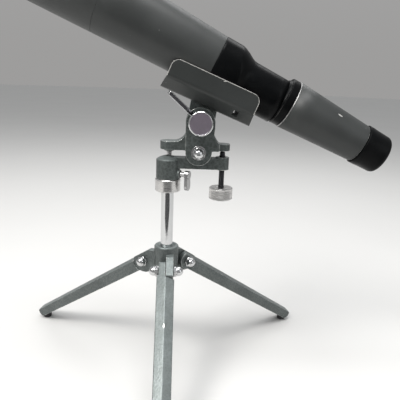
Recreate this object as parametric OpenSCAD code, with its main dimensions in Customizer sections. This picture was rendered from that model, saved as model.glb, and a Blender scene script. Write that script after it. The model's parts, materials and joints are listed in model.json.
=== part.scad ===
// Spotting scope lying in the saddle of a folding table tripod.
// Millimetres. +Z is up, the origin is on the table under the post axis,
// and +X is the side that the eyepiece points to.

/* [Tripod] */
// Distance from the post axis to the centre of a leg's rounded end
foot_r = 174; // [165:1:185]
// Height of the leg hinges above the table
hinge_z = 109.8; // [106:0.1:114]
// Distance from the post axis to a leg hinge
hinge_r = 23.3; // [23:0.1:25]
// Direction of the front leg, seen from above
front_leg_angle = -88; // [-120:1:-60]
// Leg width at the hinge
leg_w_hinge = 18; // [17:0.5:20]
// Leg width at the foot
leg_w_foot = 15; // [13:0.5:17]
// Leg depth at the hinge
leg_d_hinge = 15.4; // [14:0.1:16]
// Leg depth at the foot
leg_d_foot = 12.4; // [11:0.1:13]
// Radius of the hub barrel
hub_r = 12.7; // [12:0.1:13]
// Height of the hub's top rim
hub_top_z = 130; // [127:0.5:135]

/* [Post and collar] */
// Radius of the chromed post, half an inch across
post_r = 6.35; // [6:0.05:6.5]
// Radius of the collar
collar_r = 12.9; // [12:0.1:14]
// Height of the collar
collar_h = 13; // [10:0.1:14]

/* [Head] */
// Height of the head barrel's lower face
head_z = 201.7; // [200:0.1:204]
// Radius of the head barrel
head_r = 12; // [11.5:0.1:12.5]
// Rocker pivot, measured along X from the post axis
pivot_x = 30; // [28:0.5:32]
// Height of the rocker pivot
pivot_z = 229.9; // [229:0.1:231]
// Tilt clamp axis, measured along X from the post axis
clamp_x = 31; // [29:0.5:33]
// Height of the tilt clamp axis
clamp_z = 259.5; // [259:0.1:262]
// Elevation screw, measured along X from the post axis
screw_x = 54.2; // [53:0.1:56]
// Radius of the elevation screw
screw_r = 2.95; // [2.5:0.05:3.1]
// Radius of the elevation knob
knob_r = 11.9; // [10:0.1:13]
// Length of the clamp lever, from its axis to its tip
lever_l = 44; // [36:1:46]

/* [Saddle] */
// Nose-up tilt of the saddle
saddle_tilt = 22; // [20:0.5:24]
// Length of the side flaps
flap_l = 88; // [80:1:92]
// Half of the gap between the flaps
half_gap = 25.6; // [25:0.1:27]
// Height of the flaps' top edges above the clamp axis
flap_top = 45.5; // [43:0.1:46]
// Thickness of the saddle's sheet
sheet_t = 2; // [1.5:0.1:2.2]

/* [Scope] */
// Nose-up tilt of the scope
scope_tilt = 26.1; // [25.9:0.05:26.3]
// Height of the scope's axis above the table, over the post
scope_z = 336.15; // [336:0.05:340]
// Length from the post to the front rim, along the scope
front_s = 145; // [130:1:160]
// Radius of the barrel at its joint with the objective cell
seam_r = 30.8; // [30.6:0.05:30.9]
// Radius of the objective lens, which leaves 60 mm of clear glass
lens_r = 30.9; // [30.7:0.05:31]

/* [Hidden] */
$fn = 96;
gap = 0.3;          // air between pieces that move past each other
fit = 0.05;         // radial clearance of a running fit
over = 1;           // how far a cutter passes the face it cuts

// Tripod
foot_z = leg_d_foot / 2 + 3.3;
leg_slope = atan2(hinge_z - foot_z, foot_r - hinge_r);
leg_l = norm([hinge_z - foot_z, foot_r - hinge_r]);
lug_r = 13;
lug_t = 7.7;
tongue_r = 9.2;
tongue_t = 7;
ridge_h = 3;
leg_bolt_r = 2.4;
pad_r = 5;
pad_top = 6.5;
post_foot_z = 102;
post_top_z = 214;
collar_z = head_z - gap - collar_h;

// Head
dome_z = 221;
dome_h = 4.2;
dome_R = (head_r * head_r + dome_h * dome_h) / (2 * dome_h);
arm_z0 = 212.5;
arm_z1 = 223.7;
arm_w = 13;
boss_r = 6.8;
boss_z1 = 225;
arm_lug_r = 8;
lock_z = 206.8;
lock_angle = -22;
lock_r = 2.4;
spring_x = 0.8;
pocket_z = 218.8;
pocket_r = 3.3;
tip_z = 226.7;
ear_z0 = 231.5;
spring_ear_top = 239.9;
screw_ear_top = 238.3;
flare_r = 31;
flare_h = 20;
knob_z = 181.6;
knob_h = 12.4;

// Rocker
cheek_in = arm_w / 2 + gap;
cheek_out = cheek_in + 5;
cheek_r = 12.9;
ear_r = 14.3;
bolt_r = 3;
clamp_r = 3.15;
washer_t = 1.2;

// Saddle, measured from the clamp axis
floor_z = 15.5;
floor_half = 11;
fold_z = 27.6;
plate_mid = -2.5;
slot_x = 26;
slot_w = 5.2;
slot_l = 9;
lug_round = ear_r - 0.6;
lug_shift = -3.4;
lug_screw_x = 9;
lug_screw_r = 2;
lug_w = 2 * (cheek_in - gap - fit);

// Scope, measured along its axis from the post
seam_s = -68;
body_s = 47;
cone = 0.0356;
flange_s = 119;
sleeve_s = 129.4;
sleeve_end = 211;
cup_s = 211.5;
cup_end = 238.5;
cell_end = 230;
sleeve_r0 = 23.9;
sleeve_r1 = 19.2;
housing_drop = 2.7;
housing_r = 22.2;
band_r = 26.9;
tube_r = 16.4;
tube_bore = 14.8;
wall = 1.8;
filter_r = 31.4;
cell_bore = 29;
spigot_r = 27.6;
housing_spigot_r = 24.9;
housing_bore = 22.8;
objective_back = -104;
objective_mid = -111.6;
objective_front = -115.6;
ring_s = -120.2;
eye_bore = 12.6;
cup_bore = 12.2;
cup_flange_r = 16;
erector_bore = 13.1;

// ---- placing and shared shapes -------------------------------------------------

// Children are drawn along the scope: local Z is the distance from the post
// towards the eyepiece, and local +X points down
module along_scope()
  translate([0, 0, scope_z])
    rotate([0, 90 + scope_tilt, 0])
      children();

// Children are drawn from the clamp axis, with X along the saddle and Z square to it
module on_saddle()
  translate([clamp_x, 0, clamp_z])
    rotate([0, saddle_tilt, 0])
      children();

// Children are drawn in the frame of one leg, with X pointing away from the post
module at_leg(i)
  rotate([0, 0, front_leg_angle + 120 * i])
    children();

// A cylinder along Y
module rod_y(r, y0, y1)
  translate([0, y1, 0])
    rotate([90, 0, 0])
      cylinder(r = r, h = y1 - y0);

// A side outline in X and Z, given thickness along Y
module slab_y(y0, y1)
  translate([0, y1, 0])
    rotate([90, 0, 0])
      linear_extrude(height = y1 - y0)
        children();

// A tube from s0 to s1 with straight or tapered walls
module tube(s0, s1, out0, out1, in0, in1)
  rotate_extrude()
    polygon([[in0, s0], [out0, s0], [out1, s1], [in1, s1]]);

// A ring with equal walls
module ring(s0, s1, out, inner)
  tube(s0, s1, out, out, inner, inner);

// A round turned part with chamfered edges
module turned(r, h, c)
  rotate_extrude()
    polygon([[0, 0], [r - c, 0], [r, c], [r, h - c], [r - c, h], [0, h]]);

// A hexagon with its corners turned off
module hexagon(r, h)
  intersection() {
    cylinder(r = r, h = h, $fn = 6);
    turned(r, h, r * 0.08);
  }

// A domed nut that stands on z = 0
module acorn(hex_r, hex_h, dome_r, bore) {
  dome_mid = hex_h + dome_r * 0.35;
  difference() {
    union() {
      hexagon(hex_r, hex_h);
      cylinder(r = dome_r, h = dome_mid);
      translate([0, 0, dome_mid])
        sphere(r = dome_r);
    }
    translate([0, 0, -dome_r])
      cylinder(r = bore, h = dome_r + dome_mid);
    translate([0, 0, -3 * dome_r])
      cylinder(r = 2 * dome_r, h = 3 * dome_r);
  }
}

// A glass disc from z0 to z1 with a bulging or hollow face at each end.
// A positive face radius bulges and a negative one is hollow
module lens(r, z0, z1, face0, face1) {
  sag0 = abs(face0) - sqrt(face0 * face0 - r * r);
  sag1 = abs(face1) - sqrt(face1 * face1 - r * r);
  difference() {
    intersection() {
      translate([0, 0, z0 - max(0, sign(face0)) * sag0])
        cylinder(r = r, h = z1 - z0 + max(0, sign(face0)) * sag0 + max(0, sign(face1)) * sag1);
      if (face0 > 0)
        translate([0, 0, z0 - sag0 + face0])
          sphere(r = face0, $fn = 180);
      if (face1 > 0)
        translate([0, 0, z1 + sag1 - face1])
          sphere(r = face1, $fn = 180);
    }
    if (face0 < 0)
      translate([0, 0, z0 + sag0 + face0])
        sphere(r = -face0, $fn = 180);
    if (face1 < 0)
      translate([0, 0, z1 - sag1 - face1])
        sphere(r = -face1, $fn = 180);
  }
}

// ---- tripod -------------------------------------------------------------------

// The lug's lower edge follows its round end, so that a folded leg clears it,
// and its upper edge is cut flush with the top of the open leg
module hub_lug() {
  flat_end = hinge_r - leg_d_hinge / 2 - 2 * gap;
  difference() {
    translate([0, 0, hinge_z])
      slab_y(gap / 2, gap / 2 + lug_t)
        difference() {
          union() {
            translate([hinge_r, 0])
              circle(r = lug_r);
            translate([0, -lug_r])
              square([flat_end, 2 * lug_r]);
            translate([0, -lug_r * 0.76])
              square([hinge_r, lug_r * 1.76]);
          }
          translate([hinge_r, 0])
            rotate(-leg_slope)
              translate([-2 * lug_r, leg_d_hinge / 2 + gap])
                square([4 * lug_r, 2 * lug_r]);
        }
    translate([hinge_r, 0, hinge_z])
      rod_y(leg_bolt_r, -lug_t, 2 * lug_t);
  }
}

module hub()
  color("#3f4744")
    difference() {
      union() {
        translate([0, 0, hinge_z - lug_r])
          turned(hub_r, hub_top_z - hinge_z + lug_r, 1);
        for (i = [0 : 2])
          at_leg(i)
            hub_lug();
      }
      translate([0, 0, post_foot_z])
        cylinder(r = post_r, h = hub_top_z);
      translate([0, 0, hub_top_z - 1.2])
        cylinder(r1 = post_r, r2 = post_r + 3.6, h = 1.2 + fit);
      translate([0, 0, hinge_z - lug_r - over])
        cylinder(r = leg_bolt_r, h = 2 * lug_r);
    }

module post()
  color("#d8dadd")
    difference() {
      translate([0, 0, post_foot_z])
        turned(post_r, post_top_z - post_foot_z, 0.5);
      translate([0, 0, post_foot_z - over])
        cylinder(r = leg_bolt_r, h = 12);
    }

module post_screw()
  color("#c9cbce") {
    translate([0, 0, hinge_z - lug_r - 3])
      difference() {
        turned(5, 3, 0.8);
        translate([-0.6, -6, -over])
          cube([1.2, 12, 1 + over]);
      }
    translate([0, 0, hinge_z - lug_r - 0.5])
      cylinder(r = leg_bolt_r - fit, h = 15);
  }

module collar()
  color("#d3d5d8")
    difference() {
      translate([0, 0, collar_z])
        turned(collar_r, collar_h, 0.9);
      translate([0, 0, collar_z - over])
        cylinder(r = post_r, h = collar_h + 2 * over);
      translate([0, 0, collar_z + collar_h / 2])
        rod_y(2, 0, 2 * collar_r);
    }

module collar_screw()
  color("#8b8e92")
    translate([0, 0, collar_z + collar_h / 2])
      difference() {
        rod_y(2, post_r, collar_r - 0.6);
        rod_y(1, collar_r - 2.6, 2 * collar_r, $fn = 6);
      }

module leg_pivot_bolts()
  color("#d3d5d8")
    for (i = [0 : 2])
      at_leg(i)
        translate([hinge_r, 0, hinge_z]) {
          rod_y(leg_bolt_r - fit, -gap / 2 - tongue_t - 1, gap / 2 + lug_t + 4);
          translate([0, -gap / 2 - tongue_t - fit, 0])
            rotate([90, 0, 0])
              acorn(5.8, 3.4, 4.8, 0.1);
        }

module leg_acorn_nuts()
  color("#d3d5d8")
    for (i = [0 : 2])
      at_leg(i)
        translate([hinge_r, gap / 2 + lug_t, hinge_z])
          rotate([-90, 0, 0])
            acorn(5.8, 3.4, 4.8, leg_bolt_r);

// Leg outline from the side, with X along the leg from its hinge
module leg_side() {
  polygon([[0, -leg_d_hinge / 2], [leg_l, -leg_d_foot / 2], [leg_l, leg_d_foot / 2], [0, leg_d_hinge / 2]]);
  translate([leg_l, 0])
    circle(r = leg_d_foot / 2);
  circle(r = tongue_r);
}

// Leg outline from above
module leg_top(inset) {
  far = leg_l + leg_d_foot;
  polygon([
    [-2 * tongue_r, inset - leg_w_hinge / 2], [far, inset - leg_w_foot / 2],
    [far, leg_w_foot / 2 - inset], [-2 * tongue_r, leg_w_hinge / 2 - inset]
  ]);
}

// Leg cross-section with its ridge along the outer face
module leg_roof() {
  ridge = leg_d_hinge / 2;
  rotate([0, atan2(leg_d_hinge - leg_d_foot, 2 * leg_l), 0])
    translate([-2 * tongue_r, 0, 0])
      rotate([90, 0, 90])
        linear_extrude(height = leg_l + 4 * tongue_r)
          polygon([
            [-leg_w_hinge, -leg_w_hinge], [leg_w_hinge, -leg_w_hinge],
            [leg_w_hinge, ridge - 2 * ridge_h], [0, ridge + 0.02], [-leg_w_hinge, ridge - 2 * ridge_h]
          ]);
}

module leg(i) {
  pocket_l = (leg_l - 52) / 3;
  color("#4a5350")
    at_leg(i)
      difference() {
        translate([hinge_r, 0, hinge_z])
          rotate([0, leg_slope, 0])
            difference() {
              intersection() {
                slab_y(-leg_w_hinge, leg_w_hinge)
                  leg_side();
                translate([0, 0, -leg_w_hinge])
                  linear_extrude(height = 2 * leg_w_hinge)
                    leg_top(0);
                leg_roof();
              }
              rod_y(leg_bolt_r + fit, -leg_w_hinge, leg_w_hinge);
              rod_y(lug_r + gap, -gap / 2, leg_w_hinge);
              rod_y(tongue_r + gap, -leg_w_hinge, -gap / 2 - tongue_t);
              for (k = [0 : 2])
                translate([24 + k * (pocket_l + 3), 0, -leg_w_hinge])
                  linear_extrude(height = leg_w_hinge + 1.5)
                    intersection() {
                      square([2 * pocket_l, leg_w_foot - 5.6], center = true);
                      translate([0, -leg_w_foot / 2])
                        square([pocket_l, leg_w_foot]);
                    }
            }
        translate([foot_r - 1, 0, -over])
          cylinder(r = pad_r, h = pad_top + over);
      }
}

module foot_pad(i)
  color("#1c1d1e")
    at_leg(i)
      translate([foot_r - 1, 0, 0])
        turned(pad_r - fit, pad_top, 0.8);

module leg_1() leg(0);
module leg_2() leg(1);
module leg_3() leg(2);
module foot_pad_1() foot_pad(0);
module foot_pad_2() foot_pad(1);
module foot_pad_3() foot_pad(2);

// ---- head ---------------------------------------------------------------------

module head_arm()
  color("#3f4744")
    difference() {
      union() {
        translate([0, 0, head_z])
          cylinder(r = head_r, h = dome_z - head_z);
        intersection() {
          translate([0, 0, dome_z + dome_h - dome_R])
            sphere(r = dome_R);
          translate([0, 0, dome_z - over])
            cylinder(r = head_r, h = 2 * dome_h);
        }
        translate([0, -arm_w / 2, arm_z0])
          cube([screw_x, arm_w, arm_z1 - arm_z0]);
        translate([screw_x, 0, arm_z0 - 0.4])
          cylinder(r = boss_r, h = boss_z1 - arm_z0 + 0.4);
        translate([pivot_x, 0, 0])
          slab_y(-arm_w / 2, arm_w / 2) {
            translate([0, pivot_z])
              circle(r = arm_lug_r);
            translate([-arm_lug_r, arm_z0 + 2])
              square([2 * arm_lug_r, pivot_z - arm_z0 - 2]);
          }
        translate([0, 0, lock_z])
          rotate([0, 90, lock_angle])
            cylinder(r = 4.4, h = head_r + 1.6);
      }
      translate([0, 0, head_z - over])
        cylinder(r = post_r + fit, h = post_top_z + gap - head_z + over);
      translate([0, 0, lock_z])
        rotate([0, 90, lock_angle])
          cylinder(r = lock_r + fit, h = 2 * head_r);
      translate([spring_x, 0, pocket_z])
        cylinder(r = pocket_r, h = 2 * dome_h);
      translate([pivot_x, 0, pivot_z])
        rod_y(bolt_r + fit, -arm_w, arm_w);
      translate([screw_x, 0, arm_z0 - 2 * over])
        cylinder(r = screw_r + fit, h = 2 * boss_r + 2 * over);
    }

// Thumb lever whose screw presses on the post
module pan_lock_screw()
  color("#b9bcbf")
    translate([0, 0, lock_z])
      rotate([0, 0, lock_angle]) {
        rotate([0, 90, 0])
          translate([0, 0, post_r + gap])
            cylinder(r = lock_r, h = 14);
        translate([19, 0, 0])
          rotate([0, 90, 0])
            cylinder(r = 4.2, h = 4.6);
        translate([19.8, 0, 0])
          rotate([90, 0, 90])
            linear_extrude(height = 3) {
              polygon([[-4.2, 0], [4.2, 0], [5, -11], [-5, -11]]);
              translate([0, -11])
                circle(r = 5);
              circle(r = 4.2);
            }
      }

module elevation_tip()
  color("#2b2c2e")
    translate([screw_x, 0, tip_z]) {
      cylinder(r = 2.6, h = ear_z0 - gap - 2.6 - tip_z);
      intersection() {
        translate([0, 0, ear_z0 - gap - 2.6 - tip_z])
          sphere(r = 2.6);
        cylinder(r = 2.7, h = 10);
      }
    }

module elevation_screw()
  color("#2b2c2e")
    translate([screw_x, 0, knob_z + 2])
      turned(screw_r, tip_z - 0.1 - knob_z - 2, 0.4);

module elevation_knob()
  color("#c4c6c8")
    difference() {
      translate([screw_x, 0, knob_z])
        turned(knob_r, knob_h, 0.9);
      translate([screw_x, 0, knob_z + 2])
        cylinder(r = screw_r, h = knob_h);
    }

// ---- rocker -------------------------------------------------------------------

// Side outline of a rocker cheek: round at the pivot and the clamp, flared down to the ear
module cheek_side() {
  flare_w = flare_r - sqrt(flare_r * flare_r - flare_h * flare_h);
  difference() {
    translate([pivot_x, ear_z0])
      square([cheek_r + flare_w, screw_ear_top + flare_h - ear_z0]);
    translate([pivot_x + cheek_r + flare_r, screw_ear_top + flare_h])
      circle(r = flare_r);
  }
  translate([pivot_x, pivot_z])
    circle(r = cheek_r);
  translate([clamp_x, clamp_z])
    circle(r = ear_r);
  polygon([
    [pivot_x - cheek_r, pivot_z], [pivot_x + cheek_r, pivot_z],
    [clamp_x + ear_r, clamp_z - 6], [clamp_x + ear_r, clamp_z],
    [clamp_x - ear_r, clamp_z], [clamp_x - ear_r, clamp_z - 6]
  ]);
}

// Side outline of the ear on one side, from root x0 to end x1, with a curved web above it
module ear_side(x0, x1, top, web_r) {
  dir = sign(x1 - x0);
  translate([min(x0, x1), ear_z0])
    square([abs(x1 - x0), top - ear_z0]);
  difference() {
    translate([min(x0, x0 + dir * web_r), top - 0.5])
      square([web_r, web_r + 0.5]);
    translate([x0 + dir * web_r, top + web_r])
      circle(r = web_r);
  }
}

module rocker_ears()
  intersection() {
    slab_y(-cheek_out, cheek_out) {
      ear_side(17.5, -8.2, spring_ear_top, 12);
      ear_side(43.4, 61.3, screw_ear_top, 9);
    }
    translate([0, 0, ear_z0 - over])
      linear_extrude(height = 30) {
        translate([spring_x, 0])
          circle(r = 9);
        translate([spring_x, -9])
          square([18, 18]);
        translate([screw_x - 0.5, 0])
          circle(r = 7.6);
        translate([40, -7.6])
          square([screw_x - 40.5, 15.2]);
      }
  }

module rocker_bracket()
  color("#434b48")
    difference() {
      union() {
        slab_y(-cheek_out, -cheek_in)
          cheek_side();
        slab_y(cheek_in, cheek_out)
          cheek_side();
        slab_y(-cheek_in - fit, cheek_in + fit)
          translate([pivot_x - 13, pivot_z + arm_lug_r + 0.8])
            square([27, 6.4]);
        rocker_ears();
        translate([spring_x, 0, ear_z0 - 1.6])
          cylinder(r = 5, h = 3);
      }
      translate([pivot_x, 0, pivot_z])
        rod_y(bolt_r, -2 * cheek_out, 2 * cheek_out);
      translate([clamp_x, 0, clamp_z])
        rod_y(clamp_r, -2 * cheek_out, 2 * cheek_out);
      translate([spring_x, 0, ear_z0 - 2 * over])
        cylinder(r = 1.5, h = 8);
    }

module rocker_bolt()
  color("#d3d5d8")
    translate([pivot_x, 0, pivot_z]) {
      rod_y(bolt_r, -cheek_out - washer_t - 6, cheek_out + washer_t + 1);
      translate([0, cheek_out + washer_t, 0])
        rotate([-90, 0, 0])
          hexagon(6.35, 4);
    }

module rocker_nut()
  color("#d3d5d8")
    translate([pivot_x, -cheek_out - washer_t, pivot_z])
      rotate([90, 0, 0])
        rotate([0, 0, 12])
          acorn(6.35, 4.2, 5.1, bolt_r);

// A pair of washers on one axis, outside the cheeks
module washer_pair(r, bore)
  for (side = [-1, 1])
    translate([0, side * (cheek_out + washer_t / 2), 0])
      rotate([90, 0, 0])
        translate([0, 0, -washer_t / 2])
          ring(0, washer_t, r, bore);

module rocker_washers()
  color("#d3d5d8")
    translate([pivot_x, 0, pivot_z])
      washer_pair(7.3, bolt_r);

module spring_pin()
  color("#d3d5d8")
    translate([spring_x, 0, pocket_z + 3.8])
      turned(1.5, 13, 0.3);

// Compression spring, drawn as a stack of turns
module rocker_spring()
  color("#b9bcbf")
    for (k = [0 : 6])
      translate([spring_x, 0, pocket_z + 0.5 + 1.65 * k])
        rotate_extrude()
          translate([2.3, 0])
            circle(r = 0.4, $fn = 16);

module clamp_bolt()
  color("#c9cbce")
    translate([clamp_x, 0, clamp_z])
      rod_y(clamp_r, -19.2, cheek_out + washer_t + 8);

module clamp_nut()
  color("#d3d5d8")
    translate([clamp_x, cheek_out + washer_t, clamp_z])
      difference() {
        rotate([-90, 0, 0])
          hexagon(6.35, 5.4);
        rod_y(clamp_r, -over, 6);
      }

module clamp_washers()
  color("#c9cbce")
    translate([clamp_x, 0, clamp_z])
      washer_pair(9, clamp_r);

// Lever that loosens the tilt clamp; past the cap its arm leans out to clear the saddle
module clamp_lever() {
  lever_up = 136.7;
  lean = 26.5;
  bend_x = 12.4;
  arm_y = -cheek_out - washer_t - gap - 2.6;
  thick = 4.4;
  reach = (lever_l * 0.9438 - bend_x) / cos(lean);
  color("#cfd1d4")
    translate([clamp_x, 0, clamp_z])
      difference() {
        union() {
          rod_y(10.2, arm_y - 2.6, arm_y + 2.6);
          rotate([0, -lever_up, 0])
            translate([bend_x, arm_y, 0]) {
              translate([-bend_x + 4, -thick / 2, -thick / 2])
                cube([bend_x - 4, thick, thick]);
              translate([0, 0, -thick / 2])
                cylinder(r = thick / 2, h = thick);
              rotate([0, 0, -lean])
                translate([0, -thick / 2, -thick / 2])
                  cube([reach, thick, thick]);
            }
        }
        rod_y(clamp_r + fit, -40, 0);
      }
}

module clamp_cap()
  color("#a3a5ab")
    translate([clamp_x, -19.3, clamp_z])
      rotate([90, 0, 0])
        difference() {
          turned(11.8, 7.4, 0.9);
          translate([0, 0, 7.1])
            cylinder(r = 10.3, h = 1);
        }

// ---- saddle -------------------------------------------------------------------

// Half of the saddle's bent sheet in cross-section, X across and Y up
module sheet_half(side) {
  slope = (fold_z - floor_z) / (half_gap + sheet_t - floor_half);
  polygon([
    [0, floor_z], [side * floor_half, floor_z],
    [side * (half_gap + sheet_t), fold_z], [side * (half_gap + sheet_t), flap_top],
    [side * half_gap, flap_top], [side * half_gap, fold_z + sheet_t * 0.4],
    [side * (floor_half - slope), floor_z + sheet_t], [0, floor_z + sheet_t]
  ]);
}

// Side outline of the saddle: rounded flap corners, ends that spread towards the floor
module plate_side() {
  corner = 8;
  half = flap_l / 2;
  translate([plate_mid - half + corner, flap_top - corner])
    circle(r = corner);
  translate([plate_mid + half - corner, flap_top - corner])
    circle(r = corner);
  translate([plate_mid - half + corner, fold_z])
    square([flap_l - 2 * corner, flap_top - fold_z]);
  translate([plate_mid - half, fold_z])
    square([flap_l, flap_top - corner - fold_z]);
  polygon([
    [plate_mid - half, fold_z], [plate_mid - half - 3, floor_z - over],
    [plate_mid + half + 3, floor_z - over], [plate_mid + half, fold_z]
  ]);
}

// Bent sheet saddle with a strap slot through each sloping side
module saddle_plate() {
  slot_y = (floor_half + half_gap) / 2 + 0.5;
  slot_z = (floor_z + fold_z) / 2 - 0.1;
  color("#3b4341")
    on_saddle()
      difference() {
        intersection() {
          translate([-flap_l, 0, 0])
            rotate([90, 0, 90])
              linear_extrude(height = 2 * flap_l) {
                sheet_half(1);
                sheet_half(-1);
              }
          slab_y(-2 * half_gap, 2 * half_gap)
            plate_side();
        }
        for (side = [-1, 1])
          translate([slot_x, side * slot_y, slot_z])
            rotate([-side * 53, 0, 0])
              cube([slot_w, slot_l, 6 * sheet_t], center = true);
        for (x = [lug_shift - lug_screw_x, lug_shift + lug_screw_x])
          translate([x, 0, floor_z - over])
            cylinder(r = lug_screw_r, h = 2 * sheet_t + over);
      }
}

module saddle_lug()
  color("#434b48")
    on_saddle()
      difference() {
        slab_y(-lug_w / 2, lug_w / 2) {
          circle(r = lug_round);
          polygon([
            [-lug_round, 0], [lug_round, 0], [lug_round + lug_shift, floor_z],
            [-lug_round + lug_shift, floor_z]
          ]);
        }
        rod_y(clamp_r + fit, -lug_w, lug_w);
        for (x = [lug_shift - lug_screw_x, lug_shift + lug_screw_x])
          translate([x, 0, floor_z - 8])
            cylinder(r = lug_screw_r, h = 8 + over);
      }

module saddle_screws()
  color("#b9bcbf")
    on_saddle()
      for (x = [lug_shift - lug_screw_x, lug_shift + lug_screw_x])
        translate([x, 0, 0]) {
          translate([0, 0, floor_z - 7.9])
            cylinder(r = lug_screw_r - fit, h = 8 + sheet_t);
          difference() {
            translate([0, 0, floor_z + sheet_t])
              turned(3.6, 2, 0.8);
            translate([-0.5, -5, floor_z + sheet_t + 1.2])
              cube([1, 10, 2]);
          }
        }

// ---- scope --------------------------------------------------------------------

// Outer radius of the tapered barrel at distance s
function barrel_r(s) = seam_r + cone * (seam_s - s);

module objective_cell()
  color("#454d4a")
    along_scope()
      rotate_extrude()
        polygon([
          [filter_r, -front_s + 0.8], [filter_r + 0.4, -front_s], [barrel_r(-front_s) - 0.6, -front_s],
          [barrel_r(-front_s), -front_s + 0.6],
          [barrel_r(seam_s - 0.4), seam_s - 0.4], [seam_r - 0.3, seam_s],
          [cell_bore, seam_s], [cell_bore, seam_s + 8], [spigot_r, seam_s + 8],
          [spigot_r, seam_s - 6], [cell_bore, objective_back + 8], [cell_bore, objective_back + 2],
          [29.8, objective_back + 2], [29.8, objective_back],
          [lens_r + fit, objective_back], [lens_r + fit, ring_s - 2.8], [filter_r, ring_s - 3.2]
        ]);

module objective_ring()
  color("#1e1f20")
    along_scope()
      ring(ring_s - 2.4, ring_s, lens_r, 29.9);

module crown_lens()
  color("#9db7c4", 0.5)
    along_scope()
      lens(lens_r, objective_front, objective_mid - 0.2, 112, 140);

module lens_spacer()
  color("#8b8e92")
    along_scope()
      ring(ring_s, objective_front - 0.25, lens_r, 30.1);

module flint_lens()
  color("#9db7c4", 0.5)
    along_scope()
      lens(lens_r, objective_mid, objective_back, -138, -400);

module front_barrel()
  color("#454d4a")
    along_scope()
      rotate_extrude()
        polygon([
          [seam_r - 0.3, seam_s], [barrel_r(seam_s + 0.4), seam_s + 0.4],
          [barrel_r(body_s), body_s], [housing_spigot_r, body_s], [housing_spigot_r, body_s - 9],
          [barrel_r(body_s - 9) - 2 * wall, body_s - 9], [barrel_r(seam_s + 9) - wall, seam_s + 9],
          [cell_bore, seam_s + 9], [cell_bore, seam_s]
        ]);

module baffle_rings()
  color("#151617")
    along_scope() {
      ring(-25.6, -24.4, 26.4, 22.5);
      ring(9.4, 10.6, 24.8, 19.5);
    }

// Black middle of the scope: round in front, then a narrower part that sits lower
module rear_housing()
  color("#121314")
    along_scope()
      difference() {
        union() {
          ring(body_s - 8.9, body_s, housing_spigot_r, housing_bore);
          translate([0, 0, body_s])
            cylinder(r = band_r, h = 17);
          intersection() {
            translate([0, 0, body_s + 16])
              cylinder(r = band_r, h = 24);
            translate([housing_drop, 0, 0])
              rotate_extrude()
                polygon([
                  [0, 60], [29.8, 60], [29.6, 64], [28.7, 67.4], [26.6, 72.4],
                  [23.8, 77.4], [22.6, 80.4], [housing_r, 84], [0, 84]
                ]);
          }
          translate([housing_drop, 0, 78])
            cylinder(r1 = housing_r, r2 = housing_r - 0.2, h = flange_s - 78);
        }
        translate([0, 0, body_s - over])
          cylinder(r = housing_bore, h = 15);
        translate([0, 0, body_s + 3])
          cylinder(r = tube_r, h = 90);
      }

module rear_flange()
  color("#121314")
    along_scope()
      difference() {
        union() {
          translate([housing_drop / 2, 0, flange_s])
            cylinder(r1 = 21.5, r2 = 22.6, h = 3);
          translate([0, 0, flange_s + 2.5])
            turned(23.4, sleeve_s - gap - flange_s - 2.5, 0.6);
        }
        translate([0, 0, flange_s - over])
          cylinder(r = tube_r, h = 20);
      }

module inner_tube()
  color("#26282a")
    along_scope()
      ring(98, sleeve_end - 1, tube_r, tube_bore);

module field_stop()
  color("#151617")
    along_scope()
      ring(184, 185.2, tube_bore, 9);

module zoom_sleeve()
  color("#454d4a")
    along_scope()
      rotate_extrude()
        polygon([
          [tube_r + fit, sleeve_s], [sleeve_r0 - 0.5, sleeve_s], [sleeve_r0, sleeve_s + 0.7],
          [sleeve_r1, sleeve_end], [tube_r + fit, sleeve_end],
          [tube_r + fit, sleeve_end - 7], [tube_r + 1, sleeve_end - 8],
          [tube_r + 1, sleeve_s + 8], [tube_r + fit, sleeve_s + 7]
        ]);

// A lens carriage that slides inside the tube
module carriage(s0, s1, mid)
  along_scope() {
    ring(s0, s1, tube_bore - fit, erector_bore);
    ring(mid + 3, mid + 4.2, erector_bore + 0.1, erector_bore - 1.5);
  }

module front_carriage()
  color("#8b8e92")
    carriage(136, 150, 143);

module front_erector_lens()
  color("#9db7c4", 0.5)
    along_scope()
      lens(erector_bore - fit, 142, 145.4, 60, 80);

module rear_carriage()
  color("#8b8e92")
    carriage(166, 178, 170);

module rear_erector_lens()
  color("#9db7c4", 0.5)
    along_scope()
      lens(erector_bore - fit, 169.2, 172.4, 70, 60);

module eyepiece_cell()
  color("#1e1f20")
    along_scope() {
      ring(192, cell_end, tube_bore - fit, eye_bore);
      ring(cell_end - 2, cell_end, cup_flange_r, eye_bore);
      ring(203.3, 204.6, eye_bore + 0.1, eye_bore - 1.2);
    }

module field_lens()
  color("#9db7c4", 0.5)
    along_scope()
      lens(eye_bore - fit, 198.5, 202.8, 90, 40);

module eye_lens()
  color("#9db7c4", 0.5)
    along_scope()
      lens(eye_bore - fit, 219, 223, 40, 60);

module eye_lens_ring()
  color("#151617")
    along_scope()
      ring(224.6, 226.4, eye_bore, eye_bore - 2);

// Eyecup with a rounded rim. A groove inside it turns on the flange of the eyepiece cell
module eyecup() {
  rim_r = 5;
  color("#101112")
    along_scope()
      rotate_extrude()
        difference() {
          union() {
            polygon([
              [14.4, cup_s], [20, cup_s], [20.4, cup_s + 0.5], [20.3, cup_s + 6],
              [19.4, cup_end - rim_r], [14.4, cup_end - rim_r]
            ]);
            translate([11, cup_end - 9])
              square([4, 9 - rim_r]);
            translate([14.4, cup_end - rim_r])
              circle(r = rim_r);
          }
          square([cup_bore, 2 * cup_end]);
          square([tube_bore, cell_end]);
          square([tube_bore + 0.7, cell_end - 9]);
          translate([0, cell_end - 2 - fit])
            square([cup_flange_r + fit, 2 + 2 * fit]);
        }
}

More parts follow.
